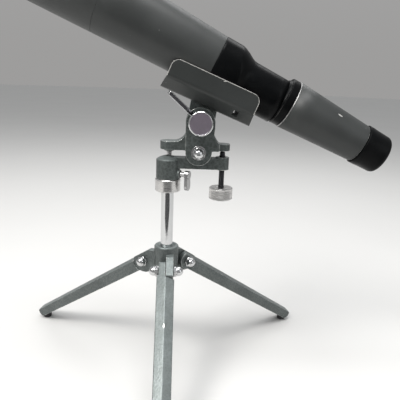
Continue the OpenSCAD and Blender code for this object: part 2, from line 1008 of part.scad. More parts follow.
hub();
post();
post_screw();
collar();
collar_screw();
leg_pivot_bolts();
leg_acorn_nuts();
leg_1();
leg_2();
leg_3();
foot_pad_1();
foot_pad_2();
foot_pad_3();
head_arm();
pan_lock_screw();
elevation_tip();
elevation_screw();
elevation_knob();
rocker_bracket();
rocker_bolt();
rocker_nut();
rocker_washers();
spring_pin();
rocker_spring();
clamp_bolt();
clamp_nut();
clamp_washers();
clamp_lever();
clamp_cap();
saddle_plate();
saddle_lug();
saddle_screws();
objective_cell();
objective_ring();
crown_lens();
flint_lens();
lens_spacer();
front_barrel();
baffle_rings();
rear_housing();
rear_flange();
inner_tube();
field_stop();
zoom_sleeve();
front_carriage();
front_erector_lens();
rear_carriage();
rear_erector_lens();
eyepiece_cell();
field_lens();
eye_lens();
eye_lens_ring();
eyecup();
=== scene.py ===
"""Looks for the spotting scope on its table tripod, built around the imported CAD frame."""

import json
import math

import bmesh
import bpy
import numpy as np
from mathutils import Euler, Matrix, Vector


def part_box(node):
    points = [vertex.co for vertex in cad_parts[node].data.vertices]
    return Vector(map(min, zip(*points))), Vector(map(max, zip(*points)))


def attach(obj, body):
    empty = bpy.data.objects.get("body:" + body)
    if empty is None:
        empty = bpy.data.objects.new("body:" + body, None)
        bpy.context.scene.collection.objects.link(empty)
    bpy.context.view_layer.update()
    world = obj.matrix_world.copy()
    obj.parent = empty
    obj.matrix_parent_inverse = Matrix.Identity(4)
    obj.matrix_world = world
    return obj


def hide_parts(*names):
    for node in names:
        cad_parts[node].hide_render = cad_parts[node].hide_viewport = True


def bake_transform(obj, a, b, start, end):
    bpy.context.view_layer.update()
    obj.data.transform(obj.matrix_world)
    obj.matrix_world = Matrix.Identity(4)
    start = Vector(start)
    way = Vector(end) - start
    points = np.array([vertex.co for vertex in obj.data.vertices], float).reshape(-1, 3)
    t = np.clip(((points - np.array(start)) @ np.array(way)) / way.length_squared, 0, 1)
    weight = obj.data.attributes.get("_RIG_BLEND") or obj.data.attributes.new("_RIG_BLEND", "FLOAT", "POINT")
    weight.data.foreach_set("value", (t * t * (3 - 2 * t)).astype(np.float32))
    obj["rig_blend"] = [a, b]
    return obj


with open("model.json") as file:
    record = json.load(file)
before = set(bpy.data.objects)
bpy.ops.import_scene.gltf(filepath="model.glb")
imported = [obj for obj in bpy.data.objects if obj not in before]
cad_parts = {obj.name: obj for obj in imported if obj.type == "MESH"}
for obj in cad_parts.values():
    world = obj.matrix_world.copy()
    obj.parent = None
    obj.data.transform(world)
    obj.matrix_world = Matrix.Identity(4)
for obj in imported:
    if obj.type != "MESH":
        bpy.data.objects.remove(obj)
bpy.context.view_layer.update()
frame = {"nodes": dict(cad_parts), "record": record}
MM = 0.001
TAU = 2 * math.pi
BACK, FRONT = Vector((0, 1, 0)), Vector((0, -1, 0))
IN_MM = Matrix.Scale(MM, 4)  # takes points in millimetres to the frame's metres

behaviour = frame["record"]["behaviour"]
BODY = {node: body for body, nodes in behaviour["bodies"].items() for node in nodes}
SLOT = {s["node"]: s["material_slot"] for s in frame["record"]["subparts"]}
JOINT = {j["name"]: j for j in behaviour["joints"]}


# ---- frames of the tilted parts, for points in millimetres -----------------------


def columns(x, y, z, origin):
    """A matrix from its three axes and its origin."""
    m = Matrix.Identity(4)
    for i, v in enumerate((x, y, z, Vector(origin))):
        m.col[i] = (*v, 1.0 if i == 3 else 0.0)
    return m


def joint_place(name):
    return Vector(JOINT[name]["pos_m"]) / MM


def scope_frame():
    """Local Z runs along the scope from above the post to the eyepiece, local X points down."""
    along = Vector(JOINT["zoom_turn"]["axis"])
    p = joint_place("zoom_turn")
    return IN_MM @ columns(BACK.cross(along), BACK, along, p - along * (p.x / along.x))


def saddle_frame():
    """X along the saddle, Z square to it, from the clamp axis."""
    z = Vector(JOINT["scope_lift"]["axis"])
    return IN_MM @ columns(BACK.cross(z), BACK, z, joint_place("coarse_tilt"))


def standing(x=0.0, y=0.0):
    """Local Z is the height above the table."""
    return IN_MM @ Matrix.Translation((x, y, 0))


def pointing(origin, direction, turn=0.0):
    """Local Z points along direction from origin, turned about itself by some degrees."""
    q = Vector(direction).normalized().to_track_quat("Z", "Y").to_matrix().to_4x4()
    return IN_MM @ Matrix.Translation(origin) @ q @ Matrix.Rotation(math.radians(turn), 4, "Z")


SCOPE = scope_frame()
SADDLE = saddle_frame()


# ---- shader building -------------------------------------------------------------


def shade(colour, factor, lift=0.0):
    """A lighter or darker version of a colour."""
    return [c * factor + lift for c in colour]


class Shader:
    """A material with a Principled shader and short calls for the nodes that feed it."""

    def __init__(self, name, turn=None):
        self.mat = bpy.data.materials.new(name)
        self.mat.use_nodes = True
        self.tree = self.mat.node_tree
        self.tree.nodes.clear()
        self.bsdf = self.node("BsdfPrincipled")
        self.tree.links.new(self.bsdf.outputs[0], self.node("OutputMaterial").inputs[0])
        self.coords = self.node("TexCoord").outputs["Object"]
        if turn is not None:
            self.coords = self.mapped((1, 1, 1), turn)

    def node(self, kind, **inputs):
        n = self.tree.nodes.new("ShaderNode" + kind)
        self.feed(n, inputs)
        return n

    def feed(self, n, inputs):
        """Links or sets inputs by name, with _ for a space."""
        for key, value in inputs.items():
            self.put(n.inputs[key.replace("_", " ")], value)

    def put(self, socket, value):
        if hasattr(value, "is_linked"):
            self.tree.links.new(value, socket)
        elif socket.type == "RGBA":
            socket.default_value = (*value[:3], 1.0)
        else:
            socket.default_value = value

    def set(self, **values):
        self.feed(self.bsdf, values)

    def mapped(self, scale, turn=(0, 0, 0), move=(0, 0, 0)):
        n = self.node("Mapping", Vector=self.coords, Location=move, Rotation=turn, Scale=scale)
        return n.outputs[0]

    def noise(self, scale, detail=3.0, rough=0.55, coords=None, warp=0.0):
        n = self.node("TexNoise", Vector=coords or self.coords, Scale=scale, Detail=detail)
        self.feed(n, {"Roughness": rough, "Distortion": warp})
        return n.outputs[0]

    def cells(self, scale, feature="SMOOTH_F1"):
        n = self.tree.nodes.new("ShaderNodeTexVoronoi")
        n.feature = feature
        self.feed(n, {"Vector": self.coords, "Scale": scale})
        return n.outputs["Distance"]

    def ramp(self, value, low, high, a=0.0, b=1.0):
        """Goes smoothly from a to b while the value goes from low to high."""
        n = self.node("MapRange", Value=value, From_Min=low, From_Max=high, To_Min=a, To_Max=b)
        n.interpolation_type = "SMOOTHSTEP"
        return n.outputs[0]

    def math(self, op, a, b=0.0, clamp=False):
        n = self.tree.nodes.new("ShaderNodeMath")
        n.operation = op
        n.use_clamp = clamp
        self.put(n.inputs[0], a)
        self.put(n.inputs[1], b)
        return n.outputs[0]

    def times(self, a, b):
        return self.math("MULTIPLY", a, b)

    def plus(self, a, b):
        return self.math("ADD", a, b)

    def between(self, kind, first, factor, a, b):
        """A mix node, whose two inputs and output of each kind have their own numbers."""
        n = self.tree.nodes.new("ShaderNodeMix")
        n.data_type = kind
        self.put(n.inputs[0], factor)
        self.put(n.inputs[first], a)
        self.put(n.inputs[first + 1], b)
        return n.outputs[2 if kind == "RGBA" else 0]

    def mix(self, factor, a, b):
        return self.between("RGBA", 6, factor, a, b)

    def blend(self, factor, a, b):
        return self.between("FLOAT", 2, factor, a, b)

    def attribute(self, name):
        n = self.tree.nodes.new("ShaderNodeAttribute")
        n.attribute_name = name
        return n.outputs["Fac"]

    def length(self, vector):
        n = self.tree.nodes.new("ShaderNodeVectorMath")
        n.operation = "LENGTH"
        self.tree.links.new(vector, n.inputs[0])
        return n.outputs["Value"]

    def chipped(self, bare, chips):
        """Adds chips to the mask of bare metal. A chip is its centre and how each axis is stretched."""
        for centre, scale in chips:
            away = self.length(self.mapped(scale, move=tuple(-c * s for c, s in zip(centre, scale))))
            spot = self.plus(away, self.noise(1700, 2, 0.6))
            bare = self.math("MAXIMUM", bare, self.ramp(spot, 1.2, 1.35, 1.0, 0.0))
        return bare

    def bump(self, height, strength, depth):
        n = self.node("Bump", Strength=strength, Distance=depth, Height=height)
        self.tree.links.new(n.outputs[0], self.bsdf.inputs["Normal"])


# ---- materials -------------------------------------------------------------------


def hammered(name, dark, light, worn=0.5, cell=430, rough=0.4, chips=()):
    """Hammered paint on a casting: dimples, metal flake, dust and painted top light on upward faces, and paint
    rubbed off the edges.
    """
    dust_and_top_light_colour, dust, metal = (0.4, 0.45, 0.445), 0.4, (0.56, 0.56, 0.54)
    s = Shader(name)
    dimples = s.cells(cell)
    web = s.cells(cell * 1.7)
    grain = s.noise(cell * 3.4, 4, 0.62)
    cloud = s.noise(38, 3, 0.5)
    fleck = s.ramp(s.noise(cell * 5.0, 2, 0.7), 0.58, 0.68)
    tone = s.plus(s.times(s.ramp(dimples, 0.1, 0.75), 0.55), s.times(s.ramp(grain, 0.3, 0.7), 0.45))
    base = s.mix(tone, dark, light)
    base = s.mix(s.times(fleck, 0.4), base, shade(light, 2.2))
    base = s.mix(s.ramp(cloud, 0.35, 0.7, 0.0, 0.3), base, shade(dark, 0.72))
    # upward faces are mixed toward a pale grey-green: partly dust, partly painted top light
    film = s.ramp(s.noise(95, 4, 0.6), 0.25, 0.75, 0.55 * dust, dust)
    base = s.mix(s.times(s.attribute("dust"), film), base, dust_and_top_light_colour)
    base = s.mix(s.times(s.attribute("recess"), 0.4), base, shade(light, 1.1, 0.01))
    edge = s.math("MULTIPLY", s.attribute("wear"), s.noise(260, 5, 0.7), clamp=True)
    rub = s.ramp(edge, 0.44 - 0.12 * worn, 0.62 - 0.1 * worn)
    base = s.mix(s.ramp(edge, 0.16, 0.5, 0.0, 0.5), base, shade(light, 1.8))
    rub = s.chipped(rub, chips)
    base = s.mix(rub, base, metal)
    s.set(Base_Color=base, Specular_IOR_Level=0.4)
    s.set(Metallic=s.blend(rub, s.ramp(grain, 0.3, 0.7, 0.3, 0.6), 0.9))
    s.set(Roughness=s.blend(rub, s.ramp(grain, 0.3, 0.7, rough - 0.07, rough + 0.1), 0.28))
    relief = s.plus(s.times(dimples, 0.8), s.times(grain, 0.3))
    s.bump(s.plus(relief, s.times(web, 0.35)), 0.38, 0.0005)
    return s.mat


def satin_paint(name, colour, rough, turn=None, chips=(), scuff=0.5):
    """Sprayed satin paint: orange peel, dust, hairline scratches, chips at given spots, bare edges."""
    metal, edge_metal = (0.82, 0.8, 0.77), 0.9
    s = Shader(name, turn)
    peel = s.noise(520, 2, 0.5)
    fine = s.noise(2600, 2, 0.6)
    cloud = s.noise(22, 4, 0.55)
    base = s.mix(s.ramp(cloud, 0.3, 0.75), colour, shade(colour, 1.28, 0.002))
    dust = s.ramp(s.noise(1500, 2, 0.7), 0.66, 0.74, 0.0, 0.3)
    base = s.mix(dust, base, shade(colour, 2.6, 0.02))
    patch = s.ramp(s.noise(17, 2, 0.5), 0.52, 0.6)
    speck = s.times(s.ramp(s.cells(105, "F1"), 0.035, 0.07, 1.0, 0.0), patch)
    base = s.mix(s.times(speck, 0.7), base, shade(colour, 3, 0.12))
    hair = s.noise(90, 6, 0.75, coords=s.mapped((1, 9, 1), turn=(0.35, 0.2, 0.6)), warp=0.6)
    line = s.ramp(s.math("ABSOLUTE", s.math("SUBTRACT", hair, 0.5)), 0.0, 0.006, scuff, 0.0)
    line = s.times(line, s.ramp(s.noise(30, 2, 0.5), 0.5, 0.62))
    base = s.mix(s.times(line, 0.5), base, shade(colour, 2.4, 0.03))
    edge = s.times(s.attribute("wear"), s.noise(330, 4, 0.7, warp=0.5))
    bare = s.chipped(s.ramp(edge, 0.2, 0.34, 0.0, edge_metal), chips)
    s.set(Base_Color=s.mix(bare, base, metal), Specular_IOR_Level=0.38)
    s.set(Metallic=s.times(bare, 0.75))
    s.set(Roughness=s.blend(bare, s.ramp(cloud, 0.3, 0.7, rough - 0.04, rough + 0.08), 0.24))
    height = s.plus(peel, s.times(fine, 0.25))
    s.bump(s.math("SUBTRACT", height, s.times(bare, 0.8)), 0.1, 0.00012)
    return s.mat


def gloss_black(name, rough, grain=0.00004):
    """Black enamel or hard rubber with smears, dust and edges gone grey."""
    s = Shader(name)
    cloud = s.noise(45, 4, 0.6)
    smear = s.noise(16, 5, 0.65, coords=s.mapped((1, 1, 5)))
    dust = s.ramp(s.noise(1700, 2, 0.7), 0.68, 0.76, 0.0, 0.1)
    base = s.mix(s.ramp(cloud, 0.3, 0.8), (0.0018, 0.0021, 0.0024), (0.0038, 0.0042, 0.0046))
    base = s.mix(dust, base, (0.09, 0.09, 0.09))
    worn = s.ramp(s.times(s.attribute("wear"), s.noise(400, 4, 0.7)), 0.34, 0.5, 0.0, 0.6)
    base = s.mix(worn, base, (0.16, 0.155, 0.15))
    s.set(Base_Color=base, Specular_IOR_Level=0.07)
    s.set(Roughness=s.ramp(smear, 0.3, 0.75, rough - 0.05, rough + 0.12))
    s.bump(s.noise(700, 3, 0.6), 0.07, grain)
    return s.mat


def plated(name, colour, rough, smudge=0.12, pits=0.25):
    """Polished plating with finger smudges, pits and tarnish in the hollows."""
    s = Shader(name)
    cloud = s.noise(60, 5, 0.65)
    pit = s.ramp(s.noise(1300, 3, 0.7), 0.66, 0.75, 0.0, pits)
    base = s.mix(s.ramp(cloud, 0.45, 0.8, 0.0, 0.25), colour, shade(colour, 0.72))
    base = s.mix(pit, base, (0.16, 0.13, 0.1))
    s.set(Base_Color=base, Metallic=1.0)
    s.set(Roughness=s.ramp(cloud, 0.35, 0.75, rough, rough + smudge))
    s.bump(s.math("SUBTRACT", s.noise(210, 2, 0.5), s.times(pit, 2.0)), 0.06, 0.0001)
    return s.mat


def turned_metal(name, colour, rough, turn=None, depth=0.05):
    """Metal off a lathe: fine rings round the axis, which is the material's Z."""
    s = Shader(name, turn)
    rings = s.noise(1.0, 3, 0.7, coords=s.mapped((24, 24, 2600)))
    cloud = s.noise(80, 4, 0.6)
    spot = s.ramp(s.noise(900, 3, 0.75), 0.64, 0.73, 0.0, 0.4)
    base = s.mix(s.ramp(rings, 0.3, 0.7, 0.0, 0.4), colour, shade(colour, 0.6))
    base = s.mix(s.times(spot, s.ramp(cloud, 0.4, 0.6)), base, shade(colour, 0.3))
    s.set(Base_Color=base, Metallic=1.0)
    s.set(Roughness=s.ramp(rings, 0.25, 0.75, rough - 0.06, rough + 0.1))
    s.bump(rings, depth, 0.0001)
    return s.mat


def spun_face(name, colour, rough, centre):
    """A satin face with rings round its centre, for a disc square to Y."""
    s = Shader(name)
    radius = s.length(s.mapped((1, 0.0, 1), move=(-centre[0], 0, -centre[2])))
    rings = s.noise(5200, 3, 0.7, coords=s.node("CombineXYZ", X=radius).outputs[0])
    cloud = s.noise(150, 4, 0.6)
    grain = s.noise(3000, 2, 0.6)
    base = s.mix(s.ramp(rings, 0.3, 0.7, 0.0, 0.35), colour, shade(colour, 0.72))
    base = s.mix(s.ramp(cloud, 0.45, 0.75, 0.0, 0.35), base, shade(colour, 1.35))
    s.set(Base_Color=base, Metallic=0.75)
    s.set(Roughness=s.ramp(grain, 0.3, 0.7, rough - 0.06, rough + 0.08))
    s.bump(s.plus(rings, grain), 0.1, 0.0001)
    return s.mat


def matt_black(name, colour=(0.012, 0.012, 0.012), rough=0.85, grain=1400):
    """Flat black paint or rubber with a fine grain and dust."""
    s = Shader(name)
    n = s.noise(grain, 4, 0.65)
    dust = s.ramp(s.noise(grain * 1.3, 2, 0.7), 0.64, 0.74, 0.0, 0.25)
    base = s.mix(s.ramp(n, 0.3, 0.7), colour, shade(colour, 1.7, 0.002))
    s.set(Base_Color=s.mix(dust, base, (0.1, 0.1, 0.095)))
    s.set(Roughness=s.ramp(n, 0.3, 0.7, rough - 0.1, rough + 0.08))
    s.bump(n, 0.35, 0.0002)
    return s.mat


def coated_glass(name, tint):
    """Clear glass with smears, whose reflections have the coating's tint."""
    s = Shader(name)
    smear = s.noise(55, 5, 0.6)
    s.set(Base_Color=s.mix(s.ramp(smear, 0.3, 0.7), (0.97, 0.98, 0.99), (0.93, 0.955, 0.975)))
    s.set(Roughness=s.ramp(smear, 0.45, 0.8, 0.0, 0.035))
    s.set(Transmission_Weight=1.0, IOR=1.52, Specular_Tint=tint)
    s.bump(s.noise(900, 2, 0.5), 0.01, 0.00002)
    return s.mat


# turns the material's Z along the scope
SCOPE_TURN = (0.0, -(math.pi / 2 + math.atan2(-SCOPE.col[2].z, SCOPE.col[2].x)), 0.0)

casting = hammered("casting_paint", (0.045, 0.052, 0.05), (0.125, 0.142, 0.138), worn=0.55)
ridge_chip = (Vector((0.0027, -0.0802, 0.08)), (900, 380, 380))
# the leg paint is a lighter copy of the casting paint: painted light, for the legs and hub as lit from above
leg_paint = hammered(
    "leg_paint", (0.07, 0.08, 0.078), (0.155, 0.172, 0.169), cell=560, rough=0.36, chips=(ridge_chip,)
)
black_enamel = gloss_black("black_enamel", 0.3)
eyecup_black = gloss_black("eyecup_black", 0.36, grain=0.00005)
chrome = plated("chrome", (0.62, 0.625, 0.63), 0.06)
old_chrome = plated("old_chrome", (0.42, 0.42, 0.425), 0.13, smudge=0.2, pits=0.5)
# a near-black copy of the chrome: a painted dark reflection for the lever arm's front face
dark_reflection_chrome = plated("painted_dark_reflection_chrome", (0.05, 0.05, 0.055), 0.22, smudge=0.2, pits=0.5)
nickel = turned_metal("nickel", (0.7, 0.69, 0.68), 0.25)
dark_steel = turned_metal("dark_steel", (0.055, 0.055, 0.06), 0.36, depth=0.08)
bare_alloy = turned_metal("bare_alloy", (0.5, 0.495, 0.49), 0.34, turn=SCOPE_TURN)
inner_black = matt_black("inner_black")
rubber = matt_black("rubber", (0.018, 0.018, 0.019), 0.7, 900)
glass = coated_glass("coated_glass", (0.62, 0.55, 0.95))
glass_plain = coated_glass("inner_glass", (0.9, 0.95, 1.0))


# ---- mesh building ---------------------------------------------------------------


def new_object(name, data):
    obj = bpy.data.objects.new(name, data)
    bpy.context.scene.collection.objects.link(obj)
    return obj


def store(mesh, name, values):
    """Stores one number for each vertex."""
    mesh.attributes.new(name, "FLOAT", "POINT").data.foreach_set("value", values)


def smooth(mesh):
    mesh.polygons.foreach_set("use_smooth", [True] * len(mesh.polygons))


def add(name, verts, faces, mats, body, matrix, replaced=(), face_mats=None, wear=None):
    """Makes a smooth mesh piece, puts it on its body and says which CAD nodes it stands for."""
    mesh = bpy.data.meshes.new(name)
    mesh.from_pydata([tuple(matrix @ Vector(v)) for v in verts], [], faces)
    for m in mats:
        mesh.materials.append(m)
    if face_mats is not None:
        mesh.polygons.foreach_set("material_index", face_mats)
    smooth(mesh)
    if wear is not None:
        store(mesh, "wear", wear)
    obj = new_object(name, mesh)
    bm = bmesh.new()
    bm.from_mesh(mesh)
    bmesh.ops.recalc_face_normals(bm, faces=bm.faces)
    bm.to_mesh(mesh)
    bm.free()
    if body is not None:
        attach(obj, body)
    if replaced:
        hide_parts(*replaced)
    return obj


def rounded(points, closed=True):
    """Rounds the corners of an outline. A point is (r, z) or (r, z, corner radius). Returns points and wear."""
    pts = [(p[0], p[1], p[2] if len(p) > 2 else 0.25) for p in points]
    out, wear = [], []
    n = len(pts)

    def keep(point, worn=0.0):
        out.append(tuple(point))
        wear.append(worn)

    for i, (x, y, f) in enumerate(pts):
        if not closed and i in (0, n - 1):
            keep((x, y))
            continue
        p = np.array((x, y))
        u, v = np.array(pts[i - 1][:2]) - p, np.array(pts[(i + 1) % n][:2]) - p
        lu, lv = np.linalg.norm(u), np.linalg.norm(v)
        u, v = u / lu, v / lv
        half = math.acos(float(np.clip(u @ v, -1, 1))) / 2
        if f <= 0 or half > math.radians(87):
            keep((x, y))
            continue
        t = min(f / math.tan(half), 0.42 * lu, 0.42 * lv)
        f = t * math.tan(half)
        centre = p + (u + v) / np.linalg.norm(u + v) * (f / math.sin(half))
        a0 = math.atan2(*(p + u * t - centre)[::-1])
        a1 = math.atan2(*(p + v * t - centre)[::-1])
        turn = (a1 - a0 + math.pi) % TAU - math.pi
        steps = max(2, math.ceil(abs(turn) / math.radians(20)))
        # a point just outside each end of the arc keeps the flats' shading flat
        keep(p + u * (t + min(0.3, 0.15 * lu)))
        for k in range(steps + 1):
            a = a0 + turn * k / steps
            keep((centre[0] + f * math.cos(a), centre[1] + f * math.sin(a)), 1.0)
        keep(p + v * (t + min(0.3, 0.15 * lv)))
    return out, wear


def lathe(name, points, mats, body, matrix, replaced=(), seg=144, closed=True,
          shape=None, pick=None, worn=1.0):
    """Turns an outline round local Z. shape(angle, r, z) changes the radius, pick(r, z) the material."""
    prof, wear = rounded(points, closed)
    verts, vertex_wear, rows = [], [], []
    for (r, z), w in zip(prof, wear):
        on_axis = r < 1e-6
        count = 1 if on_axis else seg
        rows.append([len(verts) + j for j in range(count)])
        for j in range(count):
            a = TAU * j / seg
            rr = 0.0 if on_axis else shape(a, r, z) if shape else r
            verts.append((rr * math.cos(a), rr * math.sin(a), z))
        vertex_wear += [0.0 if on_axis else w * worn] * count
    faces, picked = [], []
    for i, (lo, hi) in enumerate(zip(rows, rows[1:] + rows[:1] if closed else rows[1:])):
        if len(lo) == 1 and len(hi) == 1:
            continue
        (r0, z0), (r1, z1) = prof[i], prof[(i + 1) % len(prof)]
        picked += [pick((r0 + r1) / 2, (z0 + z1) / 2) if pick else 0] * seg
        for j in range(seg):
            k = (j + 1) % seg
            if len(lo) == 1:
                faces.append((lo[0], hi[k], hi[j]))
            elif len(hi) == 1:
                faces.append((lo[j], lo[k], hi[0]))
            else:
                faces.append((lo[j], lo[k], hi[k], hi[j]))
    return add(name, verts, faces, mats, body, matrix, replaced, picked if pick else None, vertex_wear)


def grid_mesh(rows):
    """Faces between rows of equally many vertex numbers, each row a closed ring."""
    faces = []
    for lo, hi in zip(rows, rows[1:]):
        n = len(lo)
        faces += [(lo[j], lo[(j + 1) % n], hi[(j + 1) % n], hi[j]) for j in range(n)]
    return faces


def capped(rows):
    """A tube of rings with both ends closed."""
    return grid_mesh(rows) + [tuple(rows[0][::-1]), tuple(rows[-1])]


def positions(mesh, what="co"):
    values = np.empty(len(mesh.vertices) * 3)
    mesh.vertices.foreach_get(what, values)
    return values.reshape(-1, 3)


def averager(mesh):
    """A function that gives the mean of each vertex's neighbours."""
    edges = np.empty(len(mesh.edges) * 2, dtype=np.int64)
    mesh.edges.foreach_get("vertices", edges)
    count = np.zeros(len(mesh.vertices))
    np.add.at(count, edges, 1)
    edges = edges.reshape(-1, 2)

    def average(values):
        total = np.zeros_like(values)
        np.add.at(total, edges[:, 0], values[edges[:, 1]])
        np.add.at(total, edges[:, 1], values[edges[:, 0]])
        return total / np.maximum(count, 1)[:, None]

    return average


def convexity(mesh, scale):
    """Stores how far each vertex stands proud (wear), lies deep (recess) and faces up (dust, which also carries
    painted top light).
    """
    average, co, normals = averager(mesh), positions(mesh), positions(mesh, "normal")
    curve = ((co - average(co)) * normals).sum(1)[:, None] / scale
    for _ in range(2):
        curve = 0.5 * curve + 0.5 * average(curve)
    curve = curve[:, 0]
    store(mesh, "wear", np.clip(curve * 9, 0, 1))
    store(mesh, "recess", np.clip(-curve * 9, 0, 1))
    # how much each vertex faces up, which weights both the dust and the painted top light
    store(mesh, "dust", np.clip(normals[:, 2] * 1.25 - 0.25, 0, 1))


def relax(mesh, rounds, factor=0.5):
    """Smooths the mesh a little without shrinking it, which rounds its edges as a casting's are."""
    average, co = averager(mesh), positions(mesh)
    for i in range(2 * rounds):
        co += (average(co) - co) * (factor if i % 2 == 0 else -factor * 0.82)
    mesh.vertices.foreach_set("co", co.ravel())
    mesh.update()


def evaluated(obj):
    """The object's mesh with its modifiers applied."""
    depsgraph = bpy.context.evaluated_depsgraph_get()
    return bpy.data.meshes.new_from_object(obj.evaluated_get(depsgraph), depsgraph=depsgraph)


def cast(node, mat, voxel, rounds):
    """A copy of a CAD node with its edges and inner corners rounded like a casting's."""
    name = node + "_cast"
    data = frame["nodes"][node].data.copy()
    data.materials.clear()
    source = new_object(name + "_tmp", data)
    bm = bmesh.new()
    bm.from_mesh(data)
    bmesh.ops.remove_doubles(bm, verts=bm.verts, dist=1e-6)
    bm.to_mesh(data)
    bm.free()
    mod = source.modifiers.new("remesh", "REMESH")
    mod.mode = "VOXEL"
    mod.voxel_size = voxel * MM
    mod.adaptivity = 0.0
    mod.use_smooth_shade = True
    mesh = evaluated(source)
    mesh.name = name
    bpy.data.objects.remove(source)
    for key in [a.name for a in mesh.attributes if a.name.startswith("custom_normal") or a.name == "sharp_edge"]:
        mesh.attributes.remove(mesh.attributes[key])
    relax(mesh, rounds)
    convexity(mesh, voxel * MM)
    mesh.materials.clear()
    mesh.materials.append(mat)
    mesh.polygons.foreach_set("material_index", [0] * len(mesh.polygons))
    smooth(mesh)
    piece = new_object(name, mesh)
    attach(piece, BODY[node])
    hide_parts(node)


# ---- nuts and threads --------------------------------------------------------------

HEX_SEG = 96
BIG_NUT = 6.35  # middle to corner of the hexagons on the head
PITCH, THREAD_DEPTH = 1.27, 0.42  # 20 turns to the inch


def hex_shape(corner, height):
    """Radius function of a hexagon with chamfered corners at both ends."""
    flat = corner * math.cos(math.pi / 6)

    def shape(a, r, z):
        if r < corner - 0.6:
            return r
        side = flat / math.cos((a + math.pi / 6) % (math.pi / 3) - math.pi / 6)
        chamfer = flat + min(z, height - z) * 1.9 + 0.12
        return min(side, max(chamfer, flat * 0.985), r)

    return shape


def hex_side(corner, height, steps):
    """Points up the hexagon's corner, close enough together for the chamfers to show."""
    return [(corner, height * k / steps, 0) for k in range(steps + 1)]


def acorn(name, origin, direction, corner, height, dome, body, turn, replaced):
    """A chromed acorn nut: chamfered hexagon, small neck groove and a high dome."""
    mid = height + dome * 0.35
    pts = [(0, 0), (corner * math.cos(math.pi / 6) - 0.5, 0)] + hex_side(corner, height, 7)
    pts += [(dome + 0.12, height + 0.02, 0.08), (dome - 0.12, height + 0.3, 0.1), (dome, height + 0.55, 0.1)]
    pts += [(dome, mid, 0)]
    for k in range(1, 12):
        a = math.pi / 2 * k / 12
        pts.append((dome * math.cos(a), mid + dome * math.sin(a), 0))
    pts.append((0, mid + dome))
    lathe(name, pts, [chrome], body, pointing(origin, direction, turn), replaced,
          HEX_SEG, closed=False, shape=hex_shape(corner, height), worn=0.0)


def hex_nut(name, origin, direction, corner, height, bore, body, turn, replaced=()):
    pts = [(bore, 0, 0.2)] + hex_side(corner, height, 6) + [(bore, height, 0.25)]
    lathe(name, pts, [chrome], body, pointing(origin, direction, turn), replaced,
          HEX_SEG, shape=hex_shape(corner, height), worn=0.0)


def thread(crest, z0, z1):
    """Radius function of a screw thread between z0 and z1."""

    def shape(a, r, z):
        if r < crest - 0.01 or not z0 < z < z1:
            return r
        t = (z / PITCH - a / TAU) % 1.0
        ease = min(1.0, (z - z0) / PITCH, (z1 - z) / PITCH)
        return r - THREAD_DEPTH * ease * min(1.0, abs(2 * t - 1) * 1.5)

    return shape


def threaded(name, r, z0, z1, t0, t1, mat, body, matrix, replaced):
    """A rod with a cut thread between t0 and t1."""
    steps = int((t1 - t0) / PITCH * 9)
    pts = [(0, z0), (r, z0, 0.4)] + [(r, t0 + (t1 - t0) * k / steps, 0) for k in range(steps + 1)]
    pts += [(r, z1, 0.4), (0, z1)]
    lathe(name, pts, [mat], body, matrix, replaced, 40, closed=False, shape=thread(r, t0, t1))


def rod(name, r, z0, z1, edges, mat, body, matrix, replaced, seg):
    """A plain pin with a rounded edge at each end."""
    pts = [(0, z0), (r, z0, edges[0]), (r, z1, edges[1]), (0, z1)]
    lathe(name, pts, [mat], body, matrix, replaced, seg, closed=False)


# ---- camera, floor and light -------------------------------------------------------


def camera():
    """The camera stands in front of the tripod, a little above its head, and looks down."""
    place = (0.0222, -0.4814, 0.3045)
    pitch, yaw, roll = math.radians(14.557), math.radians(1.336), math.radians(2.175)
    forward = Vector((math.sin(yaw) * math.cos(pitch), math.cos(yaw) * math.cos(pitch), -math.sin(pitch)))
    side = Vector((math.cos(yaw), -math.sin(yaw), 0))
    top = side.cross(forward)
    right = math.cos(roll) * side + math.sin(roll) * top
    up = -math.sin(roll) * side + math.cos(roll) * top
    data = bpy.data.cameras.new("camera")
    data.sensor_width = 36
    data.lens = 43.605
    data.clip_start = 0.01
    data.clip_end = 50
    obj = new_object("camera", data)
    obj.matrix_world = columns(right, up, -forward, place)
    bpy.context.scene.camera = obj


def soft_light(name, place, target, size, watts, colour=(1, 1, 1)):
    data = bpy.data.lights.new(name, "AREA")
    data.shape = "RECTANGLE"
    data.size, data.size_y = size
    data.energy = watts
    data.color = colour
    obj = new_object(name, data)
    obj.location = place
    obj.rotation_mode = "QUATERNION"
    obj.rotation_quaternion = (Vector(target) - Vector(place)).to_track_quat("-Z", "Y")


def stage_piece(name, verts, faces, mat):
    mesh = bpy.data.meshes.new(name)
    mesh.from_pydata(verts, [], faces)
    mesh.materials.append(mat)
    obj = new_object(name, mesh)
    return obj


def floor():
    """A round table top, far larger than the picture."""
    s = Shader("floor")
    cloud = s.noise(3, 4, 0.5)
    s.set(Base_Color=s.mix(cloud, (0.66, 0.656, 0.645), (0.7, 0.696, 0.686)), Specular_IOR_Level=0.0)
    s.set(Roughness=s.ramp(cloud, 0.3, 0.7, 0.82, 0.92))
    s.bump(s.noise(420, 3, 0.6), 0.05, 0.0003)
    seg = 64
    verts, rows = [(0, 0, 0)], []
    for r in (0.5, 1.2, 2.5, 5.0, 9.0):
        rows.append([len(verts) + j for j in range(seg)])
        verts += [(r * math.cos(TAU * j / seg), r * math.sin(TAU * j / seg), 0) for j in range(seg)]
    middle = [(0, rows[0][j], rows[0][(j + 1) % seg]) for j in range(seg)]
    stage_piece("floor", verts, grid_mesh(rows) + middle, s.mat)


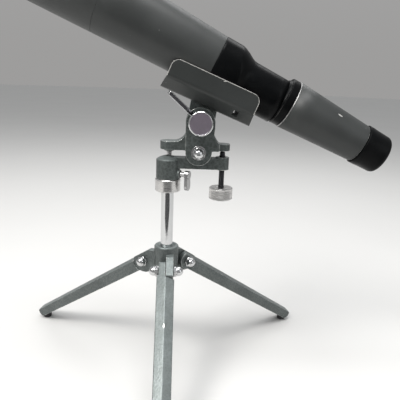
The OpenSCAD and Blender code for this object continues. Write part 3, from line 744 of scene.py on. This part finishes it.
def front_card():
    """A dark card on the table, seen only in reflections: it gives the chrome its dark stripes."""
    s = Shader("backdrop_card")
    s.set(Base_Color=s.mix(s.noise(6, 3, 0.5), (0.035, 0.035, 0.036), (0.05, 0.05, 0.05)))
    s.set(Roughness=s.ramp(s.noise(30, 3, 0.5), 0.3, 0.7, 0.7, 0.85))
    near, far, z = -0.42, -1.6, 0.0006
    corners = [(-0.95, far, z), (1.0, far, z), (0.46, near, z), (-0.36, near, z)]
    card = stage_piece("front_card", corners, [(0, 1, 2, 3)], s.mat)
    card.visible_camera = card.visible_shadow = card.visible_diffuse = False


def sky():
    """Grey at the horizon and lighter overhead."""
    world = bpy.data.worlds.new("world")
    bpy.context.scene.world = world
    world.use_nodes = True
    tree = world.node_tree
    tree.nodes.clear()
    out = tree.nodes.new("ShaderNodeOutputWorld")
    back = tree.nodes.new("ShaderNodeBackground")
    split = tree.nodes.new("ShaderNodeSeparateXYZ")
    ramp = tree.nodes.new("ShaderNodeMapRange")
    mix = tree.nodes.new("ShaderNodeMix")
    tree.links.new(tree.nodes.new("ShaderNodeTexCoord").outputs["Generated"], split.inputs[0])
    tree.links.new(split.outputs["Z"], ramp.inputs["Value"])
    tree.links.new(ramp.outputs[0], mix.inputs[0])
    tree.links.new(mix.outputs[2], back.inputs["Color"])
    tree.links.new(back.outputs[0], out.inputs[0])
    ramp.interpolation_type = "SMOOTHSTEP"
    ramp.inputs["From Max"].default_value = 0.75
    mix.data_type = "RGBA"
    mix.inputs[6].default_value = (0.425, 0.42, 0.415, 1)
    mix.inputs[7].default_value = (0.6, 0.61, 0.62, 1)
    back.inputs["Strength"].default_value = 0.8


camera()
floor()
front_card()
sky()
soft_light("key", (-0.7, -0.6, 1.35), (0.02, 0, 0.2), (0.55, 0.55), 17, (1.0, 0.985, 0.96))
soft_light("top", (0.05, -0.2, 1.5), (0.03, 0, 0.2), (0.8, 0.6), 12)
soft_light("fill", (1.3, -0.9, 0.75), (0.05, 0, 0.22), (0.5, 1.1), 3, (0.96, 0.98, 1.0))
soft_light("back", (0.25, 1.0, 1.3), (0.05, 0, 0.25), (1.2, 0.5), 5)
bpy.context.scene.view_settings.view_transform = "Standard"


# ---- tripod ------------------------------------------------------------------------


def upright(node):
    """Centre, radius and both ends of a node turned about a vertical axis, in millimetres."""
    lo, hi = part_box(node)
    return (lo + hi) / 2 / MM, (hi.x - lo.x) / 2 / MM, lo.z / MM, hi.z / MM


# the hub takes the lighter leg paint, as painted light on its lit front lug
cast("hub", leg_paint, 0.4, 3)
for n in ("head_arm", "rocker_bracket", "saddle_lug"):
    cast(n, casting, 0.4, 3)
cast("collar", nickel, 0.24, 3)
# the legs take the lighter leg paint, as painted light from overhead
for i in (1, 2, 3):
    cast(f"leg_{i}", leg_paint, 0.5, 3)
cast("pan_lock_screw", old_chrome, 0.22, 4)

c, r, z0, z1 = upright("post")
# the spigot inside the head is turned down a little, so that the head's remeshed bore stays clear of it
step_z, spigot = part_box("collar")[1].z / MM, r - 0.35
lathe("post_rod", [(0, z0), (r, z0, 0.4), (r, step_z, 0.2), (spigot, step_z, 0), (spigot, z1, 0.4), (0, z1)],
      [chrome], "stand", standing(), ["post"], closed=False)

for i in (1, 2, 3):
    axis, p = Vector(JOINT[f"leg_{i}_fold"]["axis"]), joint_place(f"leg_{i}_fold")
    # the bolt's acorn head lies on one side of the leg, and its acorn nut on the other
    acorn(f"leg_bolt_head_{i}", p - axis * 7.2, -axis, 5.8, 3.4, 4.8, "stand", 10 * i,
          ["leg_pivot_bolts"] if i == 1 else ())
    acorn(f"leg_acorn_nut_{i}", p + axis * 7.85, axis, 5.8, 3.4, 4.8, "stand", 17 * i,
          ["leg_acorn_nuts"] if i == 1 else ())
    rod(f"leg_bolt_shank_{i}", 2.35, -8, 9, (0.2, 0.2), chrome, "stand", pointing(p, axis), (), 48)
    c, r, _, z1 = upright(f"foot_pad_{i}")
    lathe(f"rubber_foot_{i}",
          [(0, 0.25), (r - 1.6, 0.25, 0.2), (r - 1.3, 0, 0.15), (r - 0.7, 0, 0.3), (r, 0.8, 0.4),
           (r, z1 - 0.5, 0.3), (r - 0.6, z1, 0.3), (0, z1)],
          [rubber], f"leg_{i}", standing(c.x, c.y), [f"foot_pad_{i}"], 64, closed=False)


# ---- head: elevation screw, knob, rocker bolt, spring -------------------------------


def knob(place, bore):
    """The knurled knob, with a recess on top round the screw."""
    _, big, z0, z1 = upright("elevation_knob")
    low, high = z0 + 1.2, z1 - 1.2  # the knurled band

    def knurl(a, r, z):
        if r < big - 0.05 or not low < z < high:
            return r
        ease = min(1.0, (z - low) / 0.5, (high - z) / 0.5)
        return r - 0.42 * ease * (0.5 - 0.5 * math.cos(64 * a)) ** 0.8

    band = [(big, z0 + 1.25 + (z1 - z0 - 2.5) * k / 12, 0) for k in range(13)]
    bottom = [(0, z0), (big - 1.1, z0, 0.3), (big, z0 + 0.9, 0.2)]
    top = [(big, z1 - 0.9, 0.2), (big - 1.1, z1, 0.3), (5.2, z1, 0.1), (4.9, z1 - 0.35, 0.1)]
    hole = [(bore, z1 - 0.35, 0), (bore, z0 + 2, 0), (0, z0 + 2)]
    lathe("elevation_knob_knurled", bottom + band + top + hole, [nickel], "elevation", place,
          ["elevation_knob"], 384, closed=False, shape=knurl)


def spring():
    """One coiled wire with closed ends, which stretches between the head and the rocker."""
    wire, turns, per_turn, around = 0.4, 7.5, 36, 10
    c, r, z0, z1 = upright("rocker_spring")
    coil, z0, z1 = r - wire, z0 + wire, z1 - wire
    closed_end = 0.75 * wire * 2
    verts, rows = [], []
    for k in range(int(turns * per_turn) + 1):
        t = k / per_turn
        if t < 1:
            z = z0 + closed_end * t
        elif t > turns - 1:
            z = z1 - closed_end * (turns - t)
        else:
            z = z0 + closed_end + (z1 - z0 - 2 * closed_end) * (t - 1) / (turns - 2)
        out = Vector((math.cos(TAU * t), math.sin(TAU * t), 0))
        rows.append([len(verts) + j for j in range(around)])
        for j in range(around):
            b = TAU * j / around
            verts.append(out * (coil + wire * math.cos(b)) + Vector((0, 0, z + wire * math.sin(b))))
    obj = add("rocker_spring_coil", verts, capped(rows), [nickel], None, standing(c.x, c.y),
              ["rocker_spring"])
    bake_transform(obj, "head", "rocker", start=(c.x * MM, 0, z0 * MM), end=(c.x * MM, 0, z1 * MM))


c, screw_r, z0, z1 = upright("elevation_screw")
threaded("elevation_screw_thread", screw_r, z0, z1, z0 + 11, z1 - 1, dark_steel, "elevation", standing(c.x, c.y),
         ["elevation_screw"])
knob(standing(c.x, c.y), screw_r)
_, r, z0, z1 = upright("elevation_tip")
ball = [(r * math.cos(a), z1 - r + r * math.sin(a), 0) for a in (math.pi / 20 * k for k in range(1, 10))]
lathe("elevation_tip_ball", [(0, z0), (r, z0, 0.3), (r, z1 - r, 0)] + ball + [(0, z1)], [dark_steel],
      "screw_tip", standing(c.x, c.y), ["elevation_tip"], 64, closed=False)

pivot, clamp = joint_place("fine_tilt"), joint_place("coarse_tilt")
washer_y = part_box("rocker_washers")[1].y / MM  # outer face of the washers
hex_nut("rocker_bolt_head", pivot + BACK * washer_y, BACK, BIG_NUT, 4.0, 0.6, "rocker", 8)
rod("rocker_bolt_shank", 3, -washer_y - 6, washer_y + 1, (0.3, 0), chrome, "rocker", pointing(pivot, BACK),
    ["rocker_bolt"], 48)
acorn("rocker_acorn_nut", pivot + FRONT * washer_y, FRONT, BIG_NUT, 4.2, 5.1, "rocker", 12, ["rocker_nut"])
washer_t = 1.2
for node, at, rad, bore in (("rocker_washers", pivot, 7.3, 3.05), ("clamp_washers", clamp, 9.0, 3.2)):
    for k, side in enumerate((BACK, FRONT)):
        lathe(f"{node}_{k + 1}", [(bore, 0, 0.1), (rad, 0, 0.1), (rad, washer_t, 0.35), (bore, washer_t, 0.2)],
              [old_chrome], "rocker", pointing(at + side * (washer_y - washer_t), side), [node] if k == 0 else (),
              96)

c, r, z0, z1 = upright("spring_pin")
rod("spring_pin_turned", r, z0, z1, (0.4, 0.4), chrome, "rocker", standing(c.x, c.y), ["spring_pin"],
    40)
spring()

# ---- tilt clamp ---------------------------------------------------------------------

clamp_front = pointing((clamp.x, 0, clamp.z), FRONT)


def cap():
    """The clamp's cap: a plated rim round a spun face that is set in a little."""
    lo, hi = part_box("clamp_cap")
    r, z0, z1 = (hi.x - lo.x) / 2 / MM, -hi.y / MM, -lo.y / MM
    face = spun_face("cap_face", (0.235, 0.205, 0.245), 0.42, (clamp.x * MM, 0, clamp.z * MM))
    lathe("clamp_cap_disc",
          [(0, z0), (r - 0.9, z0, 0.2), (r, z0 + 0.9, 0.3), (r, z1 - 0.9, 0.3), (r - 0.9, z1, 0.3),
           (10.5, z1, 0.15), (10.2, z1 - 0.35, 0.15), (0, z1 - 0.3)],
          [chrome, face], "lever", clamp_front, ["clamp_cap"], 160, closed=False,
          pick=lambda rr, z: 1 if rr < 10.4 and z > z1 - 0.6 else 0)


def lever_path(start, along, leant, lean):
    """Middle line of the arm: straight along the cheek, a bend, then straight while leaning out."""
    flat, bend_half = 12.4, 2
    bend = start + along * flat
    reach = (44 * 0.9438 - flat) / math.cos(lean)
    path = [start + along * (5 + 5.4 * k / 4) for k in range(5)]
    for k in range(1, 8):
        t = k / 8
        a, b = bend - along * bend_half, bend + leant * bend_half
        path.append(a * (1 - t) ** 2 + bend * 2 * t * (1 - t) + b * t * t)
    return path + [bend + leant * (bend_half + (reach - bend_half) * k / 12) for k in range(13)]


def lever_arm():
    """A flat bar with rounded corners and tip. Its front face takes a near-black chrome, a painted dark
    reflection.
    """
    half_w, half_t, corner, tip, taper = 2.2, 2.15, 0.5, 0.9, 0.12
    rise, lean = math.radians(136.7), math.radians(26.5)
    along = Vector((math.cos(rise), 0, math.sin(rise)))
    square = Vector((-math.sin(rise), 0, math.cos(rise)))
    leant = along * math.cos(lean) + FRONT * math.sin(lean)
    path = lever_path(clamp + FRONT * 15.9, along, leant, lean)
    section = []
    for cx, cy, a0 in ((1, 1, 0), (-1, 1, 90), (-1, -1, 180), (1, -1, 270)):
        for k in range(5):
            a = math.radians(a0 + 22.5 * k)
            section.append((cx * (half_w - corner) + corner * math.cos(a),
                            cy * (half_t - corner) + corner * math.sin(a)))
    verts, rows = [], []

    def ring(p, tangent, grow, inset=0.0):
        other = tangent.cross(square).normalized()
        rows.append([len(verts) + j for j in range(len(section))])
        for u, v in section:
            u = math.copysign(max(abs(u) - inset, 0.05), u) * grow
            v = math.copysign(max(abs(v) - inset, 0.05), v) * grow
            verts.append(p + square * u + other * v)

    last = len(path) - 1
    for k, p in enumerate(path):
        tangent = (path[min(k + 1, last)] - path[max(k - 1, 0)]).normalized()
        ring(p - leant * tip if k == last else p, tangent, 1.0 - taper * k / len(path))
    for k in range(1, 5):
        a = math.pi / 2 * k / 4
        ring(path[-1] - leant * tip + leant * (tip * math.sin(a)), leant, 1.0 - taper, 0.8 * (1 - math.cos(a)))
    faces = capped(rows)
    # the front face, which takes the painted dark reflection, is the strip after the section's fifth point, as
    # far as the tip
    front = [1 if k % len(section) == 4 and k < len(section) * last else 0 for k in range(len(faces))]
    add("clamp_lever_arm", verts, faces, [chrome, dark_reflection_chrome], "lever", IN_MM, (), front)


cap()
boss0, boss1, boss_r, boss_bore = 13.3, 18.5, 10.2, 3.25
lathe("clamp_lever_boss",
      [(boss_bore, boss0, 0.2), (boss_r, boss0, 0.7), (boss_r, boss1, 0.7), (boss_bore, boss1, 0.2)],
      [chrome], "lever", clamp_front, ["clamp_lever"], 96)
lever_arm()
lo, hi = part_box("clamp_bolt")
threaded("clamp_bolt_thread", (hi.x - lo.x) / 2 / MM, lo.y / MM, hi.y / MM, washer_y + 0.2, hi.y / MM - 0.3,
         nickel, "rocker", pointing((clamp.x, 0, clamp.z), BACK), ["clamp_bolt"])
hex_nut("clamp_hex_nut", clamp + BACK * washer_y, BACK, BIG_NUT, 5.4, 3.2, "rocker", 20, ["clamp_nut"])


# ---- saddle -------------------------------------------------------------------------

SHEET, FLOOR_Z, FLOOR_HALF, FOLD_Z, FLAP_TOP = 2.0, 15.5, 11.0, 27.6, 45.5
HALF_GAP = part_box("saddle_plate")[1].y / MM - SHEET
PLATE_MID, HALF_LEN, CORNER_R = -2.5, 44.0, 8.0
SLOT_X, SLOT_W, SLOT_L = 26.0, 5.2, 9.0


def saddle_half():
    """The sheet's middle line, from a flap's top edge to the middle, and which of its steps the slot cuts."""
    flap_y = HALF_GAP + SHEET / 2
    low, high = (FLOOR_HALF - 0.4, FLOOR_Z + 1), (flap_y, FOLD_Z + 0.5)
    line, _ = rounded([(flap_y, FLAP_TOP, 0), (*high, 4.0), (*low, 5.0), (0, FLOOR_Z + 1, 0)], closed=False)
    corner = [math.radians(a) for a in range(80, -1, -10)]
    line[1:1] = [(flap_y, FLAP_TOP - CORNER_R + CORNER_R * math.sin(a)) for a in corner]
    # the slope between the two bends has break lines at the slot's ends and middle
    low, high = np.array(low), np.array(high)
    slope = (high - low) / np.linalg.norm(high - low)
    middle = np.array(((FLOOR_HALF + HALF_GAP) / 2 + 0.5, (FLOOR_Z + FOLD_Z) / 2 - 0.1))
    t = float((middle - low) @ slope)
    breaks = [tuple(low + slope * (t + d)) for d in (SLOT_L / 2, 0, -SLOT_L / 2)]
    above = [p for p in line if p[1] > breaks[0][1]]
    below = [p for p in line if p[1] < breaks[-1][1]]
    return above + breaks + below, [False] * len(above) + [True, True] + [False] * len(below)


def sheet_ends(z):
    """Where the sheet starts and ends along the saddle, at a height."""
    if z >= FOLD_Z:
        up_by = max(0.0, z - (FLAP_TOP - CORNER_R))
        inset = CORNER_R - math.sqrt(max(0.0, CORNER_R**2 - up_by**2))
        return PLATE_MID - HALF_LEN + inset, PLATE_MID + HALF_LEN - inset
    spread = 3 * (FOLD_Z - z) / (FOLD_Z - FLOOR_Z + 1)
    return PLATE_MID - HALF_LEN - spread, PLATE_MID + HALF_LEN + spread


def saddle():
    """The bent sheet with its two strap slots, thickened, with rounded edges whose paint is rubbed off."""
    half, cut = saddle_half()
    across = half + [(-y, z) for y, z in half[-2::-1]]
    cut = cut + cut[::-1]
    even = 18  # even steps from the near end to the slot
    slot0, slot1 = SLOT_X - SLOT_W / 2, SLOT_X + SLOT_W / 2
    verts, rows, faces = [], [], []
    for y, z in across:
        x0, x1 = sheet_ends(z)
        xs = [x0, x0 + 0.45] + [x0 + 1 + (slot0 - x0 - 1) * k / (even - 1) for k in range(even)]
        xs += [slot1, (slot1 + x1) / 2, x1 - 1, x1 - 0.45, x1]
        rows.append([len(verts) + j for j in range(len(xs))])
        verts += [(x, y, z) for x in xs]
    for in_slot, low, high in zip(cut, rows, rows[1:]):
        for j in range(len(low) - 1):
            if not (in_slot and j == even + 1):
                faces.append((low[j], low[j + 1], high[j + 1], high[j]))
    scratch = (SADDLE @ Vector((4.5, -27.6, 44.4)), (460, 900, 2300))
    paint = satin_paint("saddle_paint", (0.023, 0.0255, 0.0248), rough=0.36, scuff=0.9, chips=(scratch,))
    obj = add("saddle_sheet", verts, faces, [paint], "saddle", IN_MM, ["saddle_plate"])
    mod = obj.modifiers.new("thick", "SOLIDIFY")
    mod.thickness = SHEET * MM
    mod.offset = 0
    mod.use_even_offset = True
    mod = obj.modifiers.new("edge", "BEVEL")
    mod.width = 0.45 * MM
    mod.segments = 3
    mod.limit_method = "ANGLE"
    mod.angle_limit = math.radians(50)
    mesh = evaluated(obj)
    obj.modifiers.clear()
    obj.data = mesh
    mesh.name = "saddle_sheet"
    wear = []
    for v in mesh.vertices:
        x, z = v.co.x / MM, v.co.z / MM
        x0, x1 = sheet_ends(min(z, FLAP_TOP - 0.01))
        to_edge = min(x - x0, x1 - x, FLAP_TOP - z)
        wear.append(float(np.clip(1.25 - to_edge / 0.8, 0, 1)) * (1.0 if z > FOLD_Z else 0.45))
    store(mesh, "wear", wear)
    mesh.transform(SADDLE @ Matrix.Scale(1 / MM, 4))
    smooth(mesh)
    return paint


saddle_paint = saddle()


# ---- scope: distances along its axis from above the post, radii from the axis ---------

SEAM, BODY_END, SEAM_R, CONE = -68.0, 47.0, 30.8, 0.0356
ROUND = 192  # points round the scope's turned parts
BORE = 16.45  # of the pieces that turn on the inner tube
barrel_paint = satin_paint("barrel_paint", (0.031, 0.0335, 0.033), rough=0.43, turn=SCOPE_TURN)


def wall_r(s):
    return SEAM_R + CONE * (SEAM - s)


def on_wall(s, corner=0):
    return (wall_r(s), s, corner)


def objective_cell():
    """The front cell: a tapered shell with the lens seat behind and fine grooves against glare inside."""
    front = -145.0
    grooves = []
    for k in range(18):
        z = -143.6 + 1.1 * k
        grooves += [(31.4, z, 0), (31.95, z + 0.45, 0), (31.95, z + 0.65, 0)]
    outside = [(31.8, front, 0.2), on_wall(front, 0.7), on_wall(-110), on_wall(-90), (SEAM_R, SEAM, 0.35)]
    spigot = [(29, SEAM, 0), (29, SEAM + 8, 0), (27.6, SEAM + 8, 0), (27.6, SEAM - 6, 0)]
    seat = [(29, -96, 0), (29, -102, 0), (29.8, -102, 0), (29.8, -104, 0), (30.95, -104, 0), (30.95, -123, 0),
            (31.4, -123.4, 0)]
    lathe("objective_cell_turned", outside + spigot + seat + grooves[::-1] + [(31.4, -144.2, 0.1)],
          [barrel_paint, inner_black], "scope", SCOPE, ["objective_cell"], ROUND, worn=0.3,
          pick=lambda r, z: 1 if r < wall_r(z) - 0.95 and not (z < -144.4 and r > 31.7) else 0)


def front_barrel():
    outside = [(29, SEAM, 0), (SEAM_R, SEAM, 0.35), on_wall(-40), on_wall(0), on_wall(30),
               on_wall(BODY_END, 0.35)]
    back, front = BODY_END - 9, SEAM + 9
    inside = [(24.9, BODY_END, 0), (24.9, back, 0), (wall_r(back) - 3.6, back, 0),
              (wall_r(front) - 1.8, front, 0), (29, front, 0)]
    lathe("front_barrel_turned", outside + inside, [barrel_paint, inner_black], "scope", SCOPE, ["front_barrel"],
          ROUND, worn=0.3, pick=lambda r, z: 1 if r < wall_r(z) - 1.2 else 0)


# the black middle: a round band, then a narrower part whose axis lies lower
DROP, BAND_R, LOW_R, FLANGE = 2.7, 26.9, 22.2, 119.0
BAND_END, TAPER_END = 63.2, 84.5


def housing_r(s, a):
    """Distance from the main axis to the housing's surface: the band blends into the lower part's circle."""
    stations = (60, 64, 67.4, 72.4, 77.4, 80.4, 84, FLANGE)
    low = float(np.interp(s, stations, (29.8, 29.6, 28.7, 26.6, 23.8, 22.6, LOW_R, LOW_R - 0.2)))
    r = DROP * math.cos(a) + math.sqrt(max(0.0, low * low - (DROP * math.sin(a)) ** 2))
    if s < BAND_END:
        return BAND_R
    if s >= TAPER_END:
        return r
    fillet = 0.35
    near = max(fillet - abs(BAND_R - r), 0.0) / fillet
    return min(BAND_R, r) - near * near * fillet * 0.25


def rear_housing():
    start = BODY_END + 0.02
    outside = [(start, 24.9), (start, BAND_R - 0.45), (BODY_END + 0.12, BAND_R - 0.2), (BODY_END + 0.45, BAND_R)]
    outside += [(s, None) for s in (49, 53, 57, 60, 62, BAND_END)]
    outside += [(BAND_END + 0.75 * k, None) for k in range(1, 30)]
    outside += [(s, None) for s in (88, 96, 104, 112, FLANGE)]
    shoulder = BODY_END - 8.9
    inside = [(FLANGE, 16.4), (61.0, 16.4), (61.0, 22.8), (shoulder, 22.8), (shoulder, 24.9)]
    verts, rows, wear = [], [], []
    for s, fixed in outside + inside:
        rows.append([len(verts) + j for j in range(ROUND)])
        for j in range(ROUND):
            a = TAU * j / ROUND
            r = housing_r(s, a) if fixed is None else fixed
            verts.append((r * math.cos(a), r * math.sin(a), s))
        wear += [0.3 if fixed is not None and fixed > 26 else 0.0] * ROUND
    add("rear_housing_black", verts, grid_mesh(rows + rows[:1]), [black_enamel], "scope", SCOPE,
        ["rear_housing"], None, wear)


objective_cell()
front_barrel()
rear_housing()
neck_end = FLANGE + 3
lathe("rear_flange_neck",
      [(16.5, FLANGE, 0), (21.5, FLANGE, 0), (22.4, FLANGE + 2.6, 0.6), (22.4, neck_end, 0),
       (16.5, neck_end, 0)],
      [black_enamel], "scope", SCOPE @ Matrix.Translation((DROP / 2, 0, 0)), (), 160)
lathe("rear_flange_ring",
      [(BORE, FLANGE + 2.5, 0), (22.6, FLANGE + 2.5, 0.3), (23.4, FLANGE + 3.2, 0.5), (23.4, 128.6, 0.5),
       (22.9, 129.1, 0.3), (BORE, 129.1, 0)],
      [black_enamel], "scope", SCOPE, ["rear_flange"], ROUND, worn=0.3)

sleeve0, sleeve1, big_r, small_r = 129.4, 211.0, 23.9, 19.2


def on_sleeve(s):
    return (big_r + (small_r - big_r) * (s - sleeve0) / (sleeve1 - sleeve0), s, 0)


chip_r, chip_angle = 21.2, math.radians(41)
chip_at = SCOPE @ Vector((-chip_r * math.sin(chip_angle), -chip_r * math.cos(chip_angle), 175.6))
chip = (Euler(SCOPE_TURN).to_matrix() @ chip_at, (900, 900, 330))
sleeve_paint = satin_paint("sleeve_paint", (0.029, 0.0315, 0.031), rough=0.45, turn=SCOPE_TURN, chips=(chip,))
rim = sleeve0 + 0.7
lathe("zoom_sleeve_rim", [(BORE, sleeve0, 0), (big_r - 0.4, sleeve0, 0.2), (big_r - 0.02, sleeve0 + 0.4, 0.15),
                          (big_r - 0.02, rim, 0), (BORE, rim, 0)],
      [bare_alloy], "zoom", SCOPE, (), ROUND)
lathe("zoom_sleeve_turned",
      [(BORE, rim, 0), (big_r - 0.04, rim, 0), on_sleeve(150), on_sleeve(180), (small_r, sleeve1, 0.4),
       (BORE, sleeve1, 0), (BORE, 204, 0), (17.4, 203, 0), (17.4, 137.4, 0), (BORE, 136.4, 0)],
      [sleeve_paint], "zoom", SCOPE, ["zoom_sleeve"], ROUND, worn=0.45)

cup0, cup1, lip = 211.5, 238.5, 5
outside = [(15.5, cup0, 0.1), (20, cup0, 0.3), (20.4, cup0 + 0.5, 0.4), (20.3, cup0 + 6, 0),
           (20.1, cup0 + 6.5, 0)]
rolled = [(14.4 + lip * math.cos(a), cup1 - lip + lip * math.sin(a), 0)
          for a in (math.radians(8 * k) for k in range(15))]
inside = [(12.2, 237.9, 0.2), (12.2, 230.05, 0), (16.05, 230.05, 0), (16.05, 227.95, 0), (14.8, 227.95, 0),
          (14.8, 221, 0), (15.5, 221, 0)]
lathe("eyecup_moulded", outside + rolled + inside, [eyecup_black], "eyecup", SCOPE, ["eyecup"],
      ROUND, worn=0.2)


def lens(name, node, body, r, z0, z1, front, back, mat):
    """A lens between its edges z0 and z1, with signed radii of curvature, above 0 where a face bulges out."""

    def face(radius, edge, outward):
        def sag(at):
            return math.copysign(abs(radius) - math.sqrt(radius * radius - at * at), radius) * outward

        return [(r * k / 12, edge + sag(r) - sag(r * k / 12), 0) for k in range(13)]

    outline = face(front, z0, -1) + face(back, z1, 1)[::-1]
    lathe(name, outline, [mat], body, SCOPE, [node], 96, closed=False)


lens("objective_crown", "crown_lens", "scope", 30.9, -115.6, -111.8, 112, 140, glass)
lens("objective_flint", "flint_lens", "scope", 30.9, -111.6, -104, -138, -400, glass_plain)
lens("eyepiece_eye_lens", "eye_lens", "eyepiece", 12.55, 219, 223, 40, 60, glass)
lens("eyepiece_field_lens", "field_lens", "eyepiece", 12.55, 198.5, 202.8, 90, 40, glass_plain)


# ---- CAD nodes that keep their shape --------------------------------------------------

LOOKS = {"casting_paint": casting, "leg_paint": leg_paint, "black_paint": black_enamel, "chrome": chrome,
         "nickel": nickel, "dark_steel": dark_steel, "inner_black": inner_black, "bare_alloy": bare_alloy,
         "glass": glass_plain, "rubber": rubber, "eyecup_black": eyecup_black, "barrel_paint": barrel_paint,
         "saddle_paint": saddle_paint}
for n, obj in frame["nodes"].items():
    if not obj.hide_render:
        obj.data.materials.clear()
        obj.data.materials.append(LOOKS[SLOT[n]])
